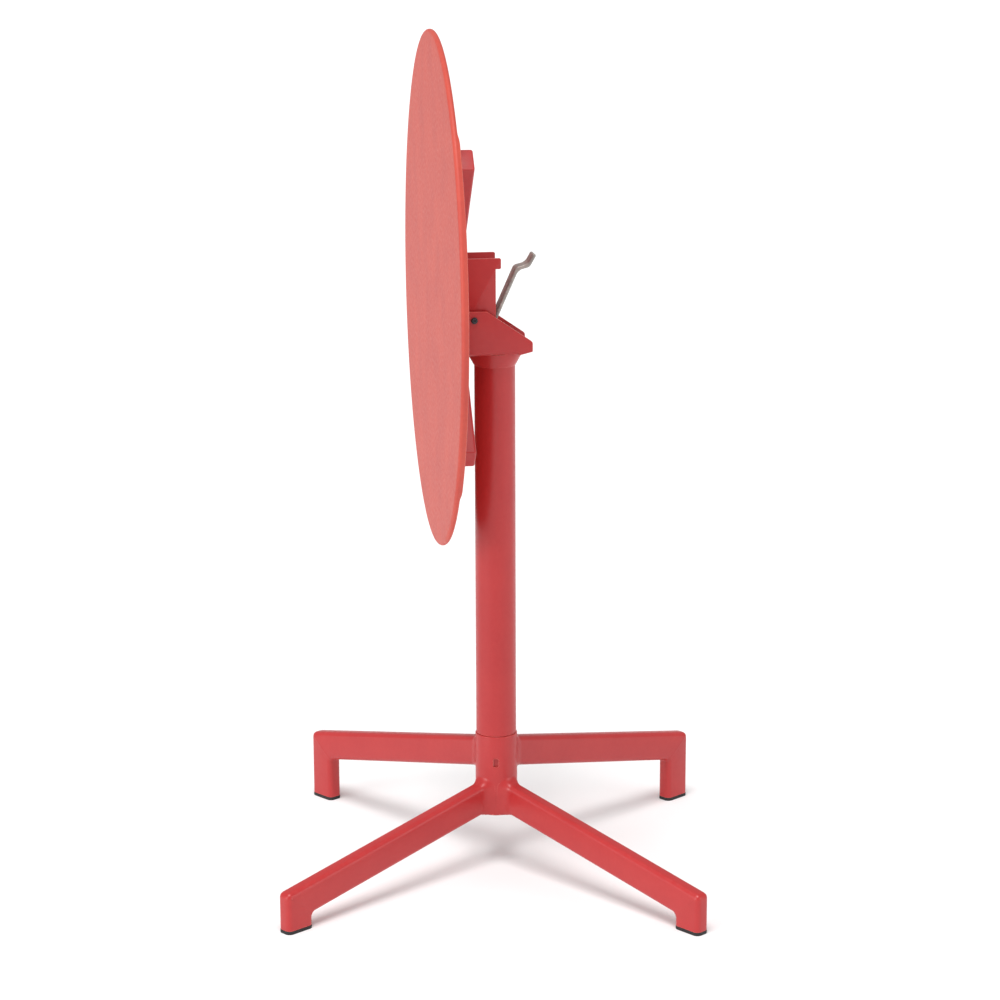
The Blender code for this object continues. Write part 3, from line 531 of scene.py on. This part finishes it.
def slab(corners, radii, low, high, segments=8):
    """A plate: an outline in the XZ plane with rounded corners, extruded along Y from low to high."""
    bm = bmesh.new()
    verts = [bm.verts.new((x, low, z)) for x, z in corners]
    bm.faces.new(verts)
    round_corners(bm, [pair for pair in zip(verts, radii) if pair[1] > 0], segments)
    grown = bmesh.ops.extrude_face_region(bm, geom=list(bm.faces))
    bmesh.ops.translate(bm, vec=(0, high - low, 0), verts=verts_of(grown))
    bmesh.ops.recalc_face_normals(bm, faces=bm.faces)
    return bm


def turned(profile, place=Matrix.Identity(4), steps=ROUND, closed=False):
    """A profile of (radius, height) spun round Z and put in place."""
    bm = bmesh.new()
    verts = [bm.verts.new((radius, 0, height)) for radius, height in profile]
    pairs = list(zip(verts, verts[1:]))
    if closed:
        pairs.append((verts[-1], verts[0]))
    edges = [bm.edges.new(pair) for pair in pairs]
    bmesh.ops.spin(
        bm, geom=verts + edges, cent=(0, 0, 0), axis=(0, 0, 1), angle=2 * math.pi,
        steps=steps, use_merge=True,
    )
    bmesh.ops.remove_doubles(bm, verts=bm.verts, dist=MERGE)
    bmesh.ops.recalc_face_normals(bm, faces=bm.faces)
    bmesh.ops.transform(bm, matrix=place, verts=bm.verts)
    return bm


def arc(centre, radius, start, end, steps=8):
    """Points of an arc from one angle to another, in degrees."""
    angles = [math.radians(start + (end - start) * i / steps) for i in range(steps + 1)]
    return [(centre[0] + radius * math.cos(a), centre[1] + radius * math.sin(a)) for a in angles]


def block(low, high):
    bm = bmesh.new()
    low, high = Vector(low), Vector(high)
    size = Matrix.Diagonal((*(high - low), 1))
    bmesh.ops.create_cube(bm, size=1, matrix=Matrix.Translation((low + high) / 2) @ size)
    return bm


def soften(bm, width, segments=3, sharper=35):
    """Rounds every edge that is sharper than the given angle in degrees."""
    limit = math.radians(sharper)
    edges = [edge for edge in bm.edges if edge.is_manifold and edge.calc_face_angle() > limit]
    bmesh.ops.bevel(
        bm, geom=edges, offset=width, offset_type="OFFSET", segments=segments, profile=0.5,
        affect="EDGES", material=-1, clamp_overlap=True,
    )
    return bm


def along_y(x, z):
    return Matrix.Translation((x, 0, z)) @ Matrix.Rotation(math.radians(-90), 4, "X")


def shade(mesh, angle=32):
    mesh.shade_smooth()
    mesh.set_sharp_from_angle(angle=math.radians(angle))


def new_object(name, bm):
    mesh = bpy.data.meshes.new(name)
    bm.to_mesh(mesh)
    bm.free()
    obj = bpy.data.objects.new(name, mesh)
    bpy.context.scene.collection.objects.link(obj)
    return obj


def settle(obj):
    """Turns an object's modifiers into its mesh."""
    graph = bpy.context.evaluated_depsgraph_get()
    mesh = bpy.data.meshes.new_from_object(obj.evaluated_get(graph), depsgraph=graph)
    obj.modifiers.clear()
    obj.data = mesh
    return obj


def carved(bm, *cutters):
    """A shape with the cutters' shapes taken out of it."""
    obj = new_object("blank", bm)
    tools = [new_object("tool", cutter) for cutter in cutters]
    for tool in tools:
        cut = obj.modifiers.new("cut", "BOOLEAN")
        cut.operation = "DIFFERENCE"
        cut.object = tool
    settle(obj)
    result = bmesh.new()
    result.from_mesh(obj.data)
    for old in [obj] + tools:
        bpy.data.objects.remove(old, do_unlink=True)
    return result


def folded(bm, inside, fold, bend, thickness):
    """A sheet folded round an inside: the outer shape and the inside it holds are both rounded
    along the folds, and the one is taken out of the other."""
    for shape, radius in ((bm, bend), (inside, bend - thickness)):
        folds = [edge for edge in shape.edges if fold(edge)]
        bmesh.ops.bevel(
            shape, geom=folds, offset=radius, offset_type="OFFSET", segments=6, profile=0.5,
            affect="EDGES", material=-1,
        )
    return carved(bm, inside)


def runs_along(edge, axis):
    """True for an edge that is parallel to an axis, 0 for X, 1 for Y and 2 for Z."""
    way = (edge.verts[1].co - edge.verts[0].co).normalized()
    return abs(way[axis]) > 0.999


def finished(name, bm, body, slot, *nodes, angle=32):
    """Makes a shape a piece of the table: its finish, its body and the nodes that it stands for."""
    obj = new_object(name, bm)
    shade(obj.data, angle)
    obj.data.materials.append(FINISH[slot])
    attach(obj, body)
    if nodes:
        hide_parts(*nodes)
    return obj


# ---- Table top and brace ------------------------------------------------------------------------
def lip_depth(angle):
    off = abs(math.remainder(angle, math.pi))
    share = max(0.0, min(1.0, (LIP_HALF_ANGLE - off) / LIP_BLEND))
    return LIP_DEEP * share * share * (3 - 2 * share)


def make_top():
    """Upper face, rolled nose and free bead, spun about the top's centre. The bead is deeper on the
    two flanks."""
    nose_r = RIM_DEEP / 2
    nose = arc((TOP_R - nose_r, nose_r), nose_r, -90, RIM_END, 12)
    bead_out = TOP_R - nose_r + BEAD_PROUD
    bead_in = TOP_R - RIM_WIDE
    bead = [(bead_out, RIM_DEEP - BEAD_DROP), (bead_out - BEAD_EASE, RIM_DEEP)]
    bead += [(bead_in + out, RIM_DEEP + up) for out, up in BEAD_ROUND]
    bead += [(bead_in + out, SHEET_T + up) for out, up in BEAD_FOOT]
    inward = TOP_R * FACE_RING
    face = [(0, 0), (inward, 0), (bead_in - FACE_MARGIN, 0)]
    sheet = [(inward, SHEET_T), (0, SHEET_T)]
    bm = turned(face + nose + bead + sheet, steps=WIDE_ROUND)
    for vert in bm.verts:
        if vert.co.z > SHEET_T + LIP_START and vert.co.xy.length < bead_out + LIP_REACH:
            vert.co.z += lip_depth(math.atan2(vert.co.x, vert.co.y))
    bmesh.ops.transform(bm, matrix=Matrix.Translation((TOP_X, 0, TOP_Z)) @ UPRIGHT_DISC, verts=bm.verts)
    bmesh.ops.recalc_face_normals(bm, faces=bm.faces)
    finished("top_panel", bm, "top", "top_red", "tabletop", angle=25)


def brace_bar(start, end, angle):
    """A closed tube welded down along both sides, with ground end caps."""
    low, high = TOP_X + SHEET_T + GAP, BRACE_HIGH.x
    half = BRACE_W / 2
    bm = bmesh.new()
    corners = [
        (low, -half - BRACE_WELD), (low + BRACE_WELD, -half), (high, -half),
        (high, half), (low + BRACE_WELD, half), (low, half + BRACE_WELD),
    ]
    verts = [bm.verts.new((x, start, z)) for x, z in corners]
    bm.faces.new(verts)
    radii = (0, BRACE_WELD, BRACE_ROUND, BRACE_ROUND, BRACE_WELD, 0)
    round_corners(bm, [pair for pair in zip(verts, radii) if pair[1] > 0], 6)
    grown = bmesh.ops.extrude_face_region(bm, geom=list(bm.faces))
    bmesh.ops.translate(bm, vec=(0, end - start, 0), verts=verts_of(grown))
    bmesh.ops.recalc_face_normals(bm, faces=bm.faces)
    rims = [
        edge for edge in bm.edges
        if abs(edge.verts[0].co.y - edge.verts[1].co.y) < GAP and edge.calc_face_angle() > 1
        and min(v.co.x for v in edge.verts) > low + BRACE_WELD / 2
    ]
    bmesh.ops.bevel(
        bm, geom=rims, offset=BRACE_CAP_ROUND, offset_type="OFFSET", segments=4, profile=0.5,
        affect="EDGES", material=-1,
    )
    turn = Matrix.Translation((0, 0, TOP_Z)) @ Matrix.Rotation(angle, 4, "X")
    bmesh.ops.transform(bm, matrix=turn, verts=bm.verts)
    return bm


def make_brace():
    half = BRACE_L / 2
    inner = BRACE_W / 2 + GAP
    rise = math.radians(45)
    bars = (
        ("brace_long", -half, half, rise),
        ("brace_near", -half, -inner, -rise),
        ("brace_far", inner, half, -rise),
    )
    for node, start, end, angle in bars:
        finished(f"{node}_bar", brace_bar(start, end, angle), "top", "frame_red", node)


# ---- Tilt channel -------------------------------------------------------------------------------
def make_channel():
    """A folded channel: web on the brace, two flanges with a hooked end and a round hinge end."""
    back, edge = CHANNEL_LOW.x, CHANNEL_HIGH.x - TAB_H
    end, tab_low = CHANNEL_HIGH.z, CHANNEL_HIGH.z - TAB_L
    hinge_low = PIVOT.z - CHANNEL_HUB_R
    shoulder = PIVOT.z - CHANNEL_HUB_R * math.sin(CHANNEL_SHOULDER)
    half = CHANNEL_HIGH.y
    corners = [
        (back, end), (CHANNEL_HIGH.x, end), (CHANNEL_HIGH.x, tab_low), (edge, tab_low),
        (edge, shoulder), (PIVOT.x + CHANNEL_HUB_R * CHANNEL_TOE, hinge_low),
        (PIVOT.x - CHANNEL_HUB_R * CHANNEL_HEEL, hinge_low), (back, PIVOT.z - CHANNEL_WEB_END),
    ]
    bm = slab(corners, CHANNEL_ROUNDS, -half, half)
    inner = half - CHANNEL_T
    inside = block(
        (back + CHANNEL_T, -inner, hinge_low - CHANNEL_T), (CHANNEL_HIGH.x + TAB_H, inner, end + CHANNEL_T)
    )

    def is_fold(edge):
        return runs_along(edge, 2) and max(vert.co.x for vert in edge.verts) < back + CHANNEL_T + GAP

    sheet = folded(bm, inside, is_fold, CHANNEL_BEND, CHANNEL_T)
    finished("tilt_channel_sheet", soften(sheet, EDGE), "top", "frame_red", "tilt_channel")


def make_screws():
    """Button-head screws that hold the channel to the brace."""
    for number in range(1, 5):
        node = f"channel_screw_{number}"
        low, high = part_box(node)
        centre = (low + high) / 2
        head_r = (high.y - low.y) / 2
        seat = high.x - SCREW_HEAD_H
        dome = arc((0, seat - SCREW_DOME_DROP), SCREW_HEAD_H + SCREW_DOME_DROP, SCREW_DOME_START, 90)
        profile = [
            (0, low.x), (SCREW_R, low.x), (SCREW_R, seat), (head_r, seat), (head_r, seat + SCREW_RIM_H),
        ]
        profile += [(min(radius, head_r - SCREW_BREAK), height) for radius, height in dome[:-1]]
        profile.append((0, high.x))
        place = Matrix.Translation((0, centre.y, centre.z)) @ Matrix.Rotation(math.radians(90), 4, "Y")
        socket = [
            (0, high.x - SCREW_SOCKET_DEEP), (SCREW_SOCKET_R, high.x - SCREW_SOCKET_DEEP),
            (SCREW_SOCKET_R, high.x + PAST), (0, high.x + PAST),
        ]
        button = carved(turned(profile, place, SMALL_ROUND), turned(socket, place, HEX))
        finished(f"{node}_button", button, "top", "dark_steel", node)


# ---- Tilt head ----------------------------------------------------------------------------------
def make_head():
    """Folded cradle: floor and two cheeks that slope down to a blunt nose."""
    back, nose = HEAD_LOW.x, HEAD_HIGH.x
    half = HEAD_HIGH.y
    corners = [
        (back, HEAD_BOTTOM), (NOSE_CUT, HEAD_BOTTOM), (nose, NOSE_BOTTOM), (nose, NOSE_TOP),
        (HEAD_FLAT_END, HEAD_TOP), (back, HEAD_TOP),
    ]
    bm = slab(corners, HEAD_ROUNDS, -half, half)
    inner = half - CHEEK_T
    floor_top = HEAD_BOTTOM + FLOOR_T
    inside = block((back - CHEEK_T, -inner, floor_top), (nose + CHEEK_T, inner, HEAD_TOP + CHEEK_T))

    def is_fold(edge):
        return runs_along(edge, 0) and max(vert.co.z for vert in edge.verts) < floor_top + GAP

    sheet = folded(bm, inside, is_fold, HEAD_BEND, FLOOR_T)
    start, end = inner - PAST, inner + CHEEK_HOLE_DEEP
    hole = turned(
        [(0, start), (CHEEK_HOLE_R, start), (CHEEK_HOLE_R, end), (0, end)],
        along_y(*CHEEK_HOLE), HOLE_ROUND,
    )
    notches = []
    for side in (-1, 1):
        low, high = sorted((side * (half - NOTCH_DEEP), side * (half + PAST)))
        start, end = (NOTCH_X[0], low, HEAD_BOTTOM - PAST), (NOTCH_X[1], high, HEAD_BOTTOM + NOTCH_H)
        notches.append(block(start, end))
    shape = carved(soften(sheet, HEAD_EDGE), hole, *notches)
    finished("tilt_head_cradle", shape, "pedestal", "frame_red", "tilt_head")
    make_flare()
    make_lugs()


def make_flare():
    """Conical weld from the column out to the head's floor."""
    seat = COLUMN_HIGH.z - COLLAR_LAP
    profile = [
        (0, seat), (COLUMN_R + COLLAR_EDGE, seat), (COLLAR_R, HEAD_BOTTOM),
        (COLLAR_R, HEAD_BOTTOM + WELD_LAP), (0, HEAD_BOTTOM + WELD_LAP),
    ]
    finished("head_collar", turned(profile), "pedestal", "frame_red")


def make_lugs():
    """Ears for the lever's pins and the pads that the channel's hooked end comes down on."""
    _, pin_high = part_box("lever_pin")
    outer = pin_high.y - PIN_STAND
    inner = outer - LUG_T
    x, z = LEVER_AXIS.x, LEVER_AXIS.z
    base = HEAD_BOTTOM + FLOOR_T - 2 * WELD_LAP
    corners = [
        (x - LUG_BACK, base), (x + LUG_AHEAD, base), (x + LUG_AHEAD, z + LUG_SHOULDER),
        (x + LUG_TIP_AHEAD, LUG_TOP), (x - LUG_TIP_BACK, LUG_TOP), (x - LUG_BACK, LUG_TOP - LUG_SLANT),
    ]
    rest = PIVOT.z - (CHANNEL_HIGH.x - PIVOT.x) - GAP
    middle = PIVOT.x + (CHANNEL_HIGH.z - PIVOT.z) - TAB_L / 2
    for side, word in ((-1, "near"), (1, "far")):
        low, high = sorted((side * inner, side * outer))
        lug = soften(slab(corners, LUG_ROUNDS, low, high), EDGE)
        finished(f"lever_lug_{word}", lug, "pedestal", "frame_red")
        low, high = sorted((side * (CHANNEL_HIGH.y - CHANNEL_T), side * CHANNEL_HIGH.y))
        pad = block((middle - PAD_BACK, low, base), (middle + PAD_AHEAD, high, rest))
        finished(f"rest_pad_{word}", soften(pad, PAD_EDGE), "pedestal", "frame_red")


def make_pivot():
    """Socket-head hinge bolt, with its washer and nut on the far side."""
    low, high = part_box("pivot_bolt")
    place = along_y(PIVOT.x, PIVOT.z)
    head_r = (high.x - low.x) / 2
    seat = -HEAD_HIGH.y - GAP
    profile = [
        (0, low.y), (head_r - BOLT_FACE, low.y), (head_r - BOLT_BREAK, low.y + BOLT_BREAK),
        (head_r, low.y + BOLT_EDGE), (head_r, seat), (BOLT_R, seat), (BOLT_R, high.y - BOLT_POINT),
        (BOLT_R - BOLT_POINT, high.y), (0, high.y),
    ]
    socket = [
        (0, low.y - PAST), (BOLT_SOCKET_R, low.y - PAST), (BOLT_SOCKET_R, low.y + BOLT_SOCKET_DEEP),
        (0, low.y + BOLT_SOCKET_DEEP + BOLT_BREAK),
    ]
    bolt = carved(turned(profile, place, HINGE_ROUND), turned(socket, place, HEX))
    finished("hinge_bolt", bolt, "pedestal", "dark_steel", "pivot_bolt")
    low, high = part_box("pivot_washer")
    washer_r = (high.x - low.x) / 2
    ring = [(BOLT_BORE, low.y), (washer_r, low.y), (washer_r, high.y), (BOLT_BORE, high.y)]
    washer = soften(turned(ring, place, HINGE_ROUND, True), WASHER_EDGE, 2)
    finished("hinge_washer", washer, "pedestal", "zinc_steel", "pivot_washer")
    low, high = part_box("pivot_nut")
    nut = hex_nut(BOLT_BORE, low.y, high.y, NUT_R, place)
    finished("hinge_nut", nut, "pedestal", "zinc_steel", "pivot_nut")


def hex_nut(bore, low, high, radius, place):
    """Hexagon nut whose corners are turned off at both ends."""
    blank = turned([(0, low), (radius, low), (radius, high), (0, high)], steps=HEX)
    through = [(bore, low - PAST), (bore, high + PAST), (0, high + PAST), (0, low - PAST)]
    cuts = [turned(through, steps=SMALL_ROUND)]
    flat, out = radius * NUT_TURNED, radius * NUT_CONE_OUT
    for end, way in ((high, 1), (low, -1)):
        past, drop = end + way * PAST, end - way * radius * NUT_CONE_DROP
        cone = [(out, past), (flat, past), (flat, end), (out, drop)]
        cuts.append(turned(cone, steps=SMALL_ROUND, closed=True))
    bm = carved(blank, *cuts)
    bmesh.ops.transform(bm, matrix=place, verts=bm.verts)
    return bm


# ---- Lever --------------------------------------------------------------------------------------
def lever_outline():
    """Side view of the bar about its joggled middle line: corners, and the radius of each."""
    lengths = (
        LEVER_STRAIGHT + LEVER_TURN_R * math.tan((LEVER_RISE - LEVER_FLAT_RISE) / 2),
        LEVER_FLAT + LEVER_TURN_R * (
            math.tan((LEVER_RISE - LEVER_FLAT_RISE) / 2) + math.tan((LEVER_TIP_RISE - LEVER_FLAT_RISE) / 2)
        ),
        LEVER_TIP + LEVER_TURN_R * math.tan((LEVER_TIP_RISE - LEVER_FLAT_RISE) / 2),
    )
    rises = (LEVER_RISE, LEVER_FLAT_RISE, LEVER_TIP_RISE)
    path = [Vector((LEVER_AXIS.x, LEVER_AXIS.z))]
    for length, rise in zip(lengths, rises):
        path.append(path[-1] + length * Vector((math.cos(rise), math.sin(rise))))
    normals = [Vector((-math.sin(rise), math.cos(rise))) for rise in rises]
    half = LEVER_T / 2
    sides = []
    for way in (1, -1):
        side = [(path[0] + way * half * normals[0], 0)]
        for corner, before, after, left in zip(path[1:], normals, normals[1:], (-1, 1)):
            mitre = (before + after).normalized()
            place = corner + way * half * mitre / mitre.dot(before)
            side.append((place, LEVER_TURN_R + way * left * half))
        side.append((path[-1] + way * half * normals[-1], LEVER_TIP_ROUND))
        sides.append(side)
    return sides[0] + sides[1][::-1]


def make_lever():
    outline = lever_outline()
    corners = [tuple(place) for place, _ in outline]
    radii = [radius for _, radius in outline]
    bm = slab(corners, radii, LEVER_LOW.y, LEVER_HIGH.y, 10)
    rims = [
        edge for edge in bm.edges
        if abs(edge.verts[0].co.y - edge.verts[1].co.y) < GAP
    ]
    bmesh.ops.bevel(
        bm, geom=rims, offset=LEVER_ROUND, offset_type="OFFSET", segments=5, profile=0.5,
        affect="EDGES", material=-1,
    )
    finished("lever_bar", bm, "lever_arm", "lever_steel", "lever")
    near, far = LEVER_LOW.y, LEVER_HIGH.y
    eye = turned(
        [(EYE_BORE, near), (EYE_R, near), (EYE_R, far), (EYE_BORE, far)],
        along_y(LEVER_AXIS.x, LEVER_AXIS.z), HINGE_ROUND, True,
    )
    finished("lever_eye", soften(eye, EDGE), "lever_arm", "lever_steel")


# ---- Column, hub and legs -------------------------------------------------------------------------
def make_column():
    low, high = COLUMN_LOW.z, COLUMN_HIGH.z
    across, up = COLUMN_BREAK
    inner = COLUMN_R - COLUMN_WALL
    profile = [
        (inner, low), (COLUMN_R - across, low), (COLUMN_R, low + up), (COLUMN_R, high), (inner, high),
    ]
    finished("column_pipe", turned(profile, closed=True), "pedestal", "frame_red", "column_tube")


def make_hub():
    """Turned hub with a well under it, a soft bottom rim and a recess for its locking screw."""
    low, top = HUB_LOW.z, HUB_TOP - GAP
    outside = arc((HUB_R - HUB_RIM, low + HUB_RIM), HUB_RIM, -90, 0)
    outside += arc((HUB_R - HUB_TOP_EDGE, top - HUB_TOP_EDGE), HUB_TOP_EDGE, 0, 90, 5)
    mouth = HUB_WELL_R + HUB_WELL_EDGE
    inside = arc((mouth, low + HUB_WELL_EDGE), HUB_WELL_EDGE, 180, 270, 4)
    profile = [(0, HUB_WELL_TOP), (HUB_WELL_R, HUB_WELL_TOP)] + inside + outside + [(0, top)]
    base_turn = Matrix.Rotation(BASE_TURN, 4, "Z")
    mark_z = HUB_TOP - MARK_DROP
    half_w, half_h = MARK_W / 2, MARK_H / 2
    mark = [
        (-half_w, mark_z - half_h), (half_w, mark_z - half_h), (half_w, mark_z + half_h),
        (-half_w, mark_z + half_h),
    ]
    recess = slab(mark, (MARK_ROUND,) * 4, -HUB_R - PAST, -HUB_R + MARK_DEEP)
    bmesh.ops.transform(recess, matrix=base_turn, verts=recess.verts)
    finished("leg_hub", carved(turned(profile), recess), "pedestal", "frame_red", "hub")
    facing = base_turn @ Matrix.Translation((0, 0, mark_z)) @ Matrix.Rotation(math.radians(90), 4, "X")
    end = HUB_R - MARK_DEEP - LOCK_SCREW_SINK
    start = end - LOCK_SCREW_L
    shank = [
        (0, start), (LOCK_SCREW_R, start), (LOCK_SCREW_R, end - LOCK_SCREW_EDGE),
        (LOCK_SCREW_R - LOCK_SCREW_EDGE, end), (0, end),
    ]
    deep = end - LOCK_SOCKET_DEEP
    socket = [(0, deep), (LOCK_SOCKET_R, deep), (LOCK_SOCKET_R, end + PAST), (0, end + PAST)]
    screw = carved(turned(shank, facing, SMALL_ROUND), turned(socket, facing, HEX))
    finished("hub_grub_screw", screw, "pedestal", "dark_steel", "set_screw")


def leg_blank(toe, outer, inner):
    """A leg along +X: side view extruded across, its long edges rounded, its foot cut level."""
    slope = (inner - outer) / (toe - HUB_R)
    drop = LEG_H / math.cos(math.atan(slope))
    heel = toe - FOOT_L
    start = HUB_R - LEG_LEAD
    below = GLIDE_H - 3 * LEG_ROUND
    corners = [
        (start, outer + slope * (toe - start)), (toe, outer), (toe, below), (heel, below),
        (heel, outer + slope * (toe - heel) - drop), (start, outer + slope * (toe - start) - drop),
    ]
    bm = slab(corners, (0, FOOT_ROUND, 0, 0, FOOT_FILLET, 0), -LEG_W / 2, LEG_W / 2)
    rims = [edge for edge in bm.edges if abs(edge.verts[0].co.y - edge.verts[1].co.y) < GAP]
    bmesh.ops.bevel(
        bm, geom=rims, offset=LEG_ROUND, offset_type="OFFSET", segments=6, profile=0.5,
        affect="EDGES", material=-1,
    )
    return bm, slope, drop


def slice_off(bm, point, normal):
    """Cuts a shape at a plane and drops what lies beyond it."""
    geom = bm.verts[:] + bm.edges[:] + bm.faces[:]
    bmesh.ops.bisect_plane(bm, geom=geom, dist=MERGE, plane_co=point, plane_no=normal, clear_outer=True)


def open_rim(bm):
    return [edge for edge in bm.edges if edge.is_boundary]


def raise_mitre(bm, toe, outer, slope, drop):
    """The ground-down weld across the elbow, from its outer corner to its inner one."""
    corner = Vector((toe, 0, outer))
    elbow = Vector((toe - FOOT_L, 0, outer + slope * FOOT_L - drop))
    way = (elbow - corner).normalized()
    normal = Vector((-way.z, 0, way.x))
    for offset in (-MITRE_HALF, 0, MITRE_HALF):
        geom = bm.verts[:] + bm.edges[:] + bm.faces[:]
        place = corner + normal * offset
        bmesh.ops.bisect_plane(bm, geom=geom, dist=MERGE, plane_co=place, plane_no=normal)
    bm.normal_update()
    crest = [vert for vert in bm.verts if abs((vert.co - corner).dot(normal)) < 10 * MERGE]
    for vert in crest:
        vert.co += vert.normal * MITRE_RISE


def blend_into_hub(bm, toe, outer, slope, drop):
    """Draws the leg's open end out into a round ground weld that runs onto the hub."""
    section = bm.verts.layers.float_vector.new("section")
    rim = open_rim(bm)
    begin = HUB_R + WELD_R
    lowest, highest = HUB_LOW.z + WELD_MARGIN, HUB_TOP - WELD_MARGIN

    def middle(reach):
        return outer + slope * (toe - reach) - drop / 2

    for edge in rim:
        for vert in edge.verts:
            vert[section] = (0, vert.co.y, vert.co.z - middle(begin))
    core_y, core_z = LEG_W / 2 - LEG_ROUND, drop / 2 - LEG_ROUND
    steps = 9
    for i in range(1, steps + 1):
        angle = math.radians(90) * i / steps
        grown = bmesh.ops.extrude_edge_only(bm, edges=rim)
        for vert in verts_of(grown):
            _, across, rise = vert[section]
            core = Vector((max(-core_y, min(core_y, across)), max(-core_z, min(core_z, rise))))
            out = (Vector((across, rise)) - core).normalized() * WELD_R * (1 - math.cos(angle))
            y = across + out.x
            surface = math.sqrt(HUB_R ** 2 - y * y) - GAP
            reach = surface + (begin - surface) * (1 - math.sin(angle))
            z = middle(reach) + rise + out.y
            vert.co = (reach, y, max(lowest, min(highest, z)))
        rim = [edge for edge in edges_of(grown) if edge.is_boundary]
    bmesh.ops.holes_fill(bm, edges=rim, sides=0)


def make_legs():
    for name, foot in FEET.items():
        outer, inner = LEG_HEIGHTS[name.split("_")[0]]
        toe = foot.xy.length + FOOT_L / 2
        bm, slope, drop = leg_blank(toe, outer, inner)
        slice_off(bm, (0, 0, GLIDE_H + GAP), (0, 0, -1))
        bmesh.ops.holes_fill(bm, edges=open_rim(bm), sides=0)
        raise_mitre(bm, toe, outer, slope, drop)
        slice_off(bm, (HUB_R + WELD_R, 0, 0), (-1, 0, 0))
        blend_into_hub(bm, toe, outer, slope, drop)
        bmesh.ops.recalc_face_normals(bm, faces=bm.faces)
        turn = Matrix.Rotation(math.atan2(foot.y, foot.x), 4, "Z")
        bmesh.ops.transform(bm, matrix=turn, verts=bm.verts)
        finished(f"{name}_leg_tube", bm, "pedestal", "frame_red", f"{name}_leg", angle=40)
        pad = glide_pad()
        bmesh.ops.transform(pad, matrix=Matrix.Translation(foot) @ turn, verts=pad.verts)
        finished(f"{name}_glide_pad", pad, "pedestal", "glide_black", f"{name}_glide")


def glide_pad():
    """Moulded pad with round corners and softened edges."""
    half_l, half_w = FOOT_L / 2 + GLIDE_GROW, LEG_W / 2 + GLIDE_GROW
    bm = block((-half_l, -half_w, 0), (half_l, half_w, GLIDE_H))
    upright = [edge for edge in bm.edges if abs(edge.verts[0].co.z - edge.verts[1].co.z) > GLIDE_H / 2]
    bmesh.ops.bevel(
        bm, geom=upright, offset=LEG_ROUND, offset_type="OFFSET", segments=8, profile=0.5,
        affect="EDGES", material=-1,
    )
    rims = [edge for edge in bm.edges if edge.calc_face_angle() > 1]
    bmesh.ops.bevel(
        bm, geom=rims, offset=GLIDE_EDGE, offset_type="OFFSET", segments=3, profile=0.5,
        affect="EDGES", material=-1,
    )
    return bm


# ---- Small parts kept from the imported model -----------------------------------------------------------
def finish_kept_nodes():
    """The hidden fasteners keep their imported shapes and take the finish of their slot."""
    slots = {part["node"]: part["material_slot"] for part in RECORD["subparts"]}
    for name, node in frame["nodes"].items():
        if node.hide_render:
            continue
        for holder in node.material_slots:
            holder.material = FINISH[slots[name]]


# ---- Floor, light and camera --------------------------------------------------------------------------
def make_floor():
    bm = bmesh.new()
    bmesh.ops.create_circle(bm, cap_ends=True, segments=PAPER_STEPS, radius=PAPER_R)
    floor = new_object("studio_floor", bm)
    paper = bpy.data.materials.new("white_paper")
    paper.use_nodes = True
    shader = paper.node_tree.nodes["Principled BSDF"]
    shader.inputs["Base Color"].default_value = (PAPER_WHITE, PAPER_WHITE, PAPER_WHITE, 1)
    shader.inputs["Roughness"].default_value = 0.9
    shader.inputs["Specular IOR Level"].default_value = 0.1
    floor.data.materials.append(paper)


def make_sun(name, strength, softness, azimuth, elevation):
    """A soft parallel light from a compass direction, 0 being from -Y and 90 from -X."""
    data = bpy.data.lights.new(name, "SUN")
    data.energy = strength
    data.angle = math.radians(softness)
    sun = bpy.data.objects.new(name, data)
    turn, rise = math.radians(azimuth), math.radians(elevation)
    toward = Vector((-math.sin(turn) * math.cos(rise), -math.cos(turn) * math.cos(rise), math.sin(rise)))
    sun.rotation_euler = toward.to_track_quat("Z", "Y").to_euler()
    bpy.context.scene.collection.objects.link(sun)


def make_light():
    world = bpy.data.worlds.new("studio")
    world.use_nodes = True
    sky = world.node_tree.nodes["Background"]
    sky.inputs["Color"].default_value = (1, 1, 1, 1)
    sky.inputs["Strength"].default_value = SKY_STRENGTH
    bpy.context.scene.world = world
    for sun in SUNS:
        make_sun(*sun)
    bpy.context.scene.view_settings.view_transform = "Standard"


def make_camera():
    data = bpy.data.cameras.new("camera")
    data.lens = CAMERA_LENS
    data.sensor_width = 36
    camera = bpy.data.objects.new("camera", data)
    camera.matrix_world = (
        Matrix.Translation(CAMERA_PLACE)
        @ Matrix.Rotation(-CAMERA_HEADING, 4, "Z")
        @ Matrix.Rotation(math.radians(90) - CAMERA_DOWN, 4, "X")
        @ Matrix.Rotation(CAMERA_ROLL, 4, "Z")
    )
    bpy.context.scene.collection.objects.link(camera)
    bpy.context.scene.camera = camera


UPRIGHT_DISC = Matrix.Rotation(math.radians(90), 4, "Y")
FINISH = make_finishes()
make_top()
make_brace()
make_channel()
make_screws()
make_head()
make_pivot()
make_lever()
make_column()
make_hub()
make_legs()
finish_kept_nodes()
make_floor()
make_light()
make_camera()
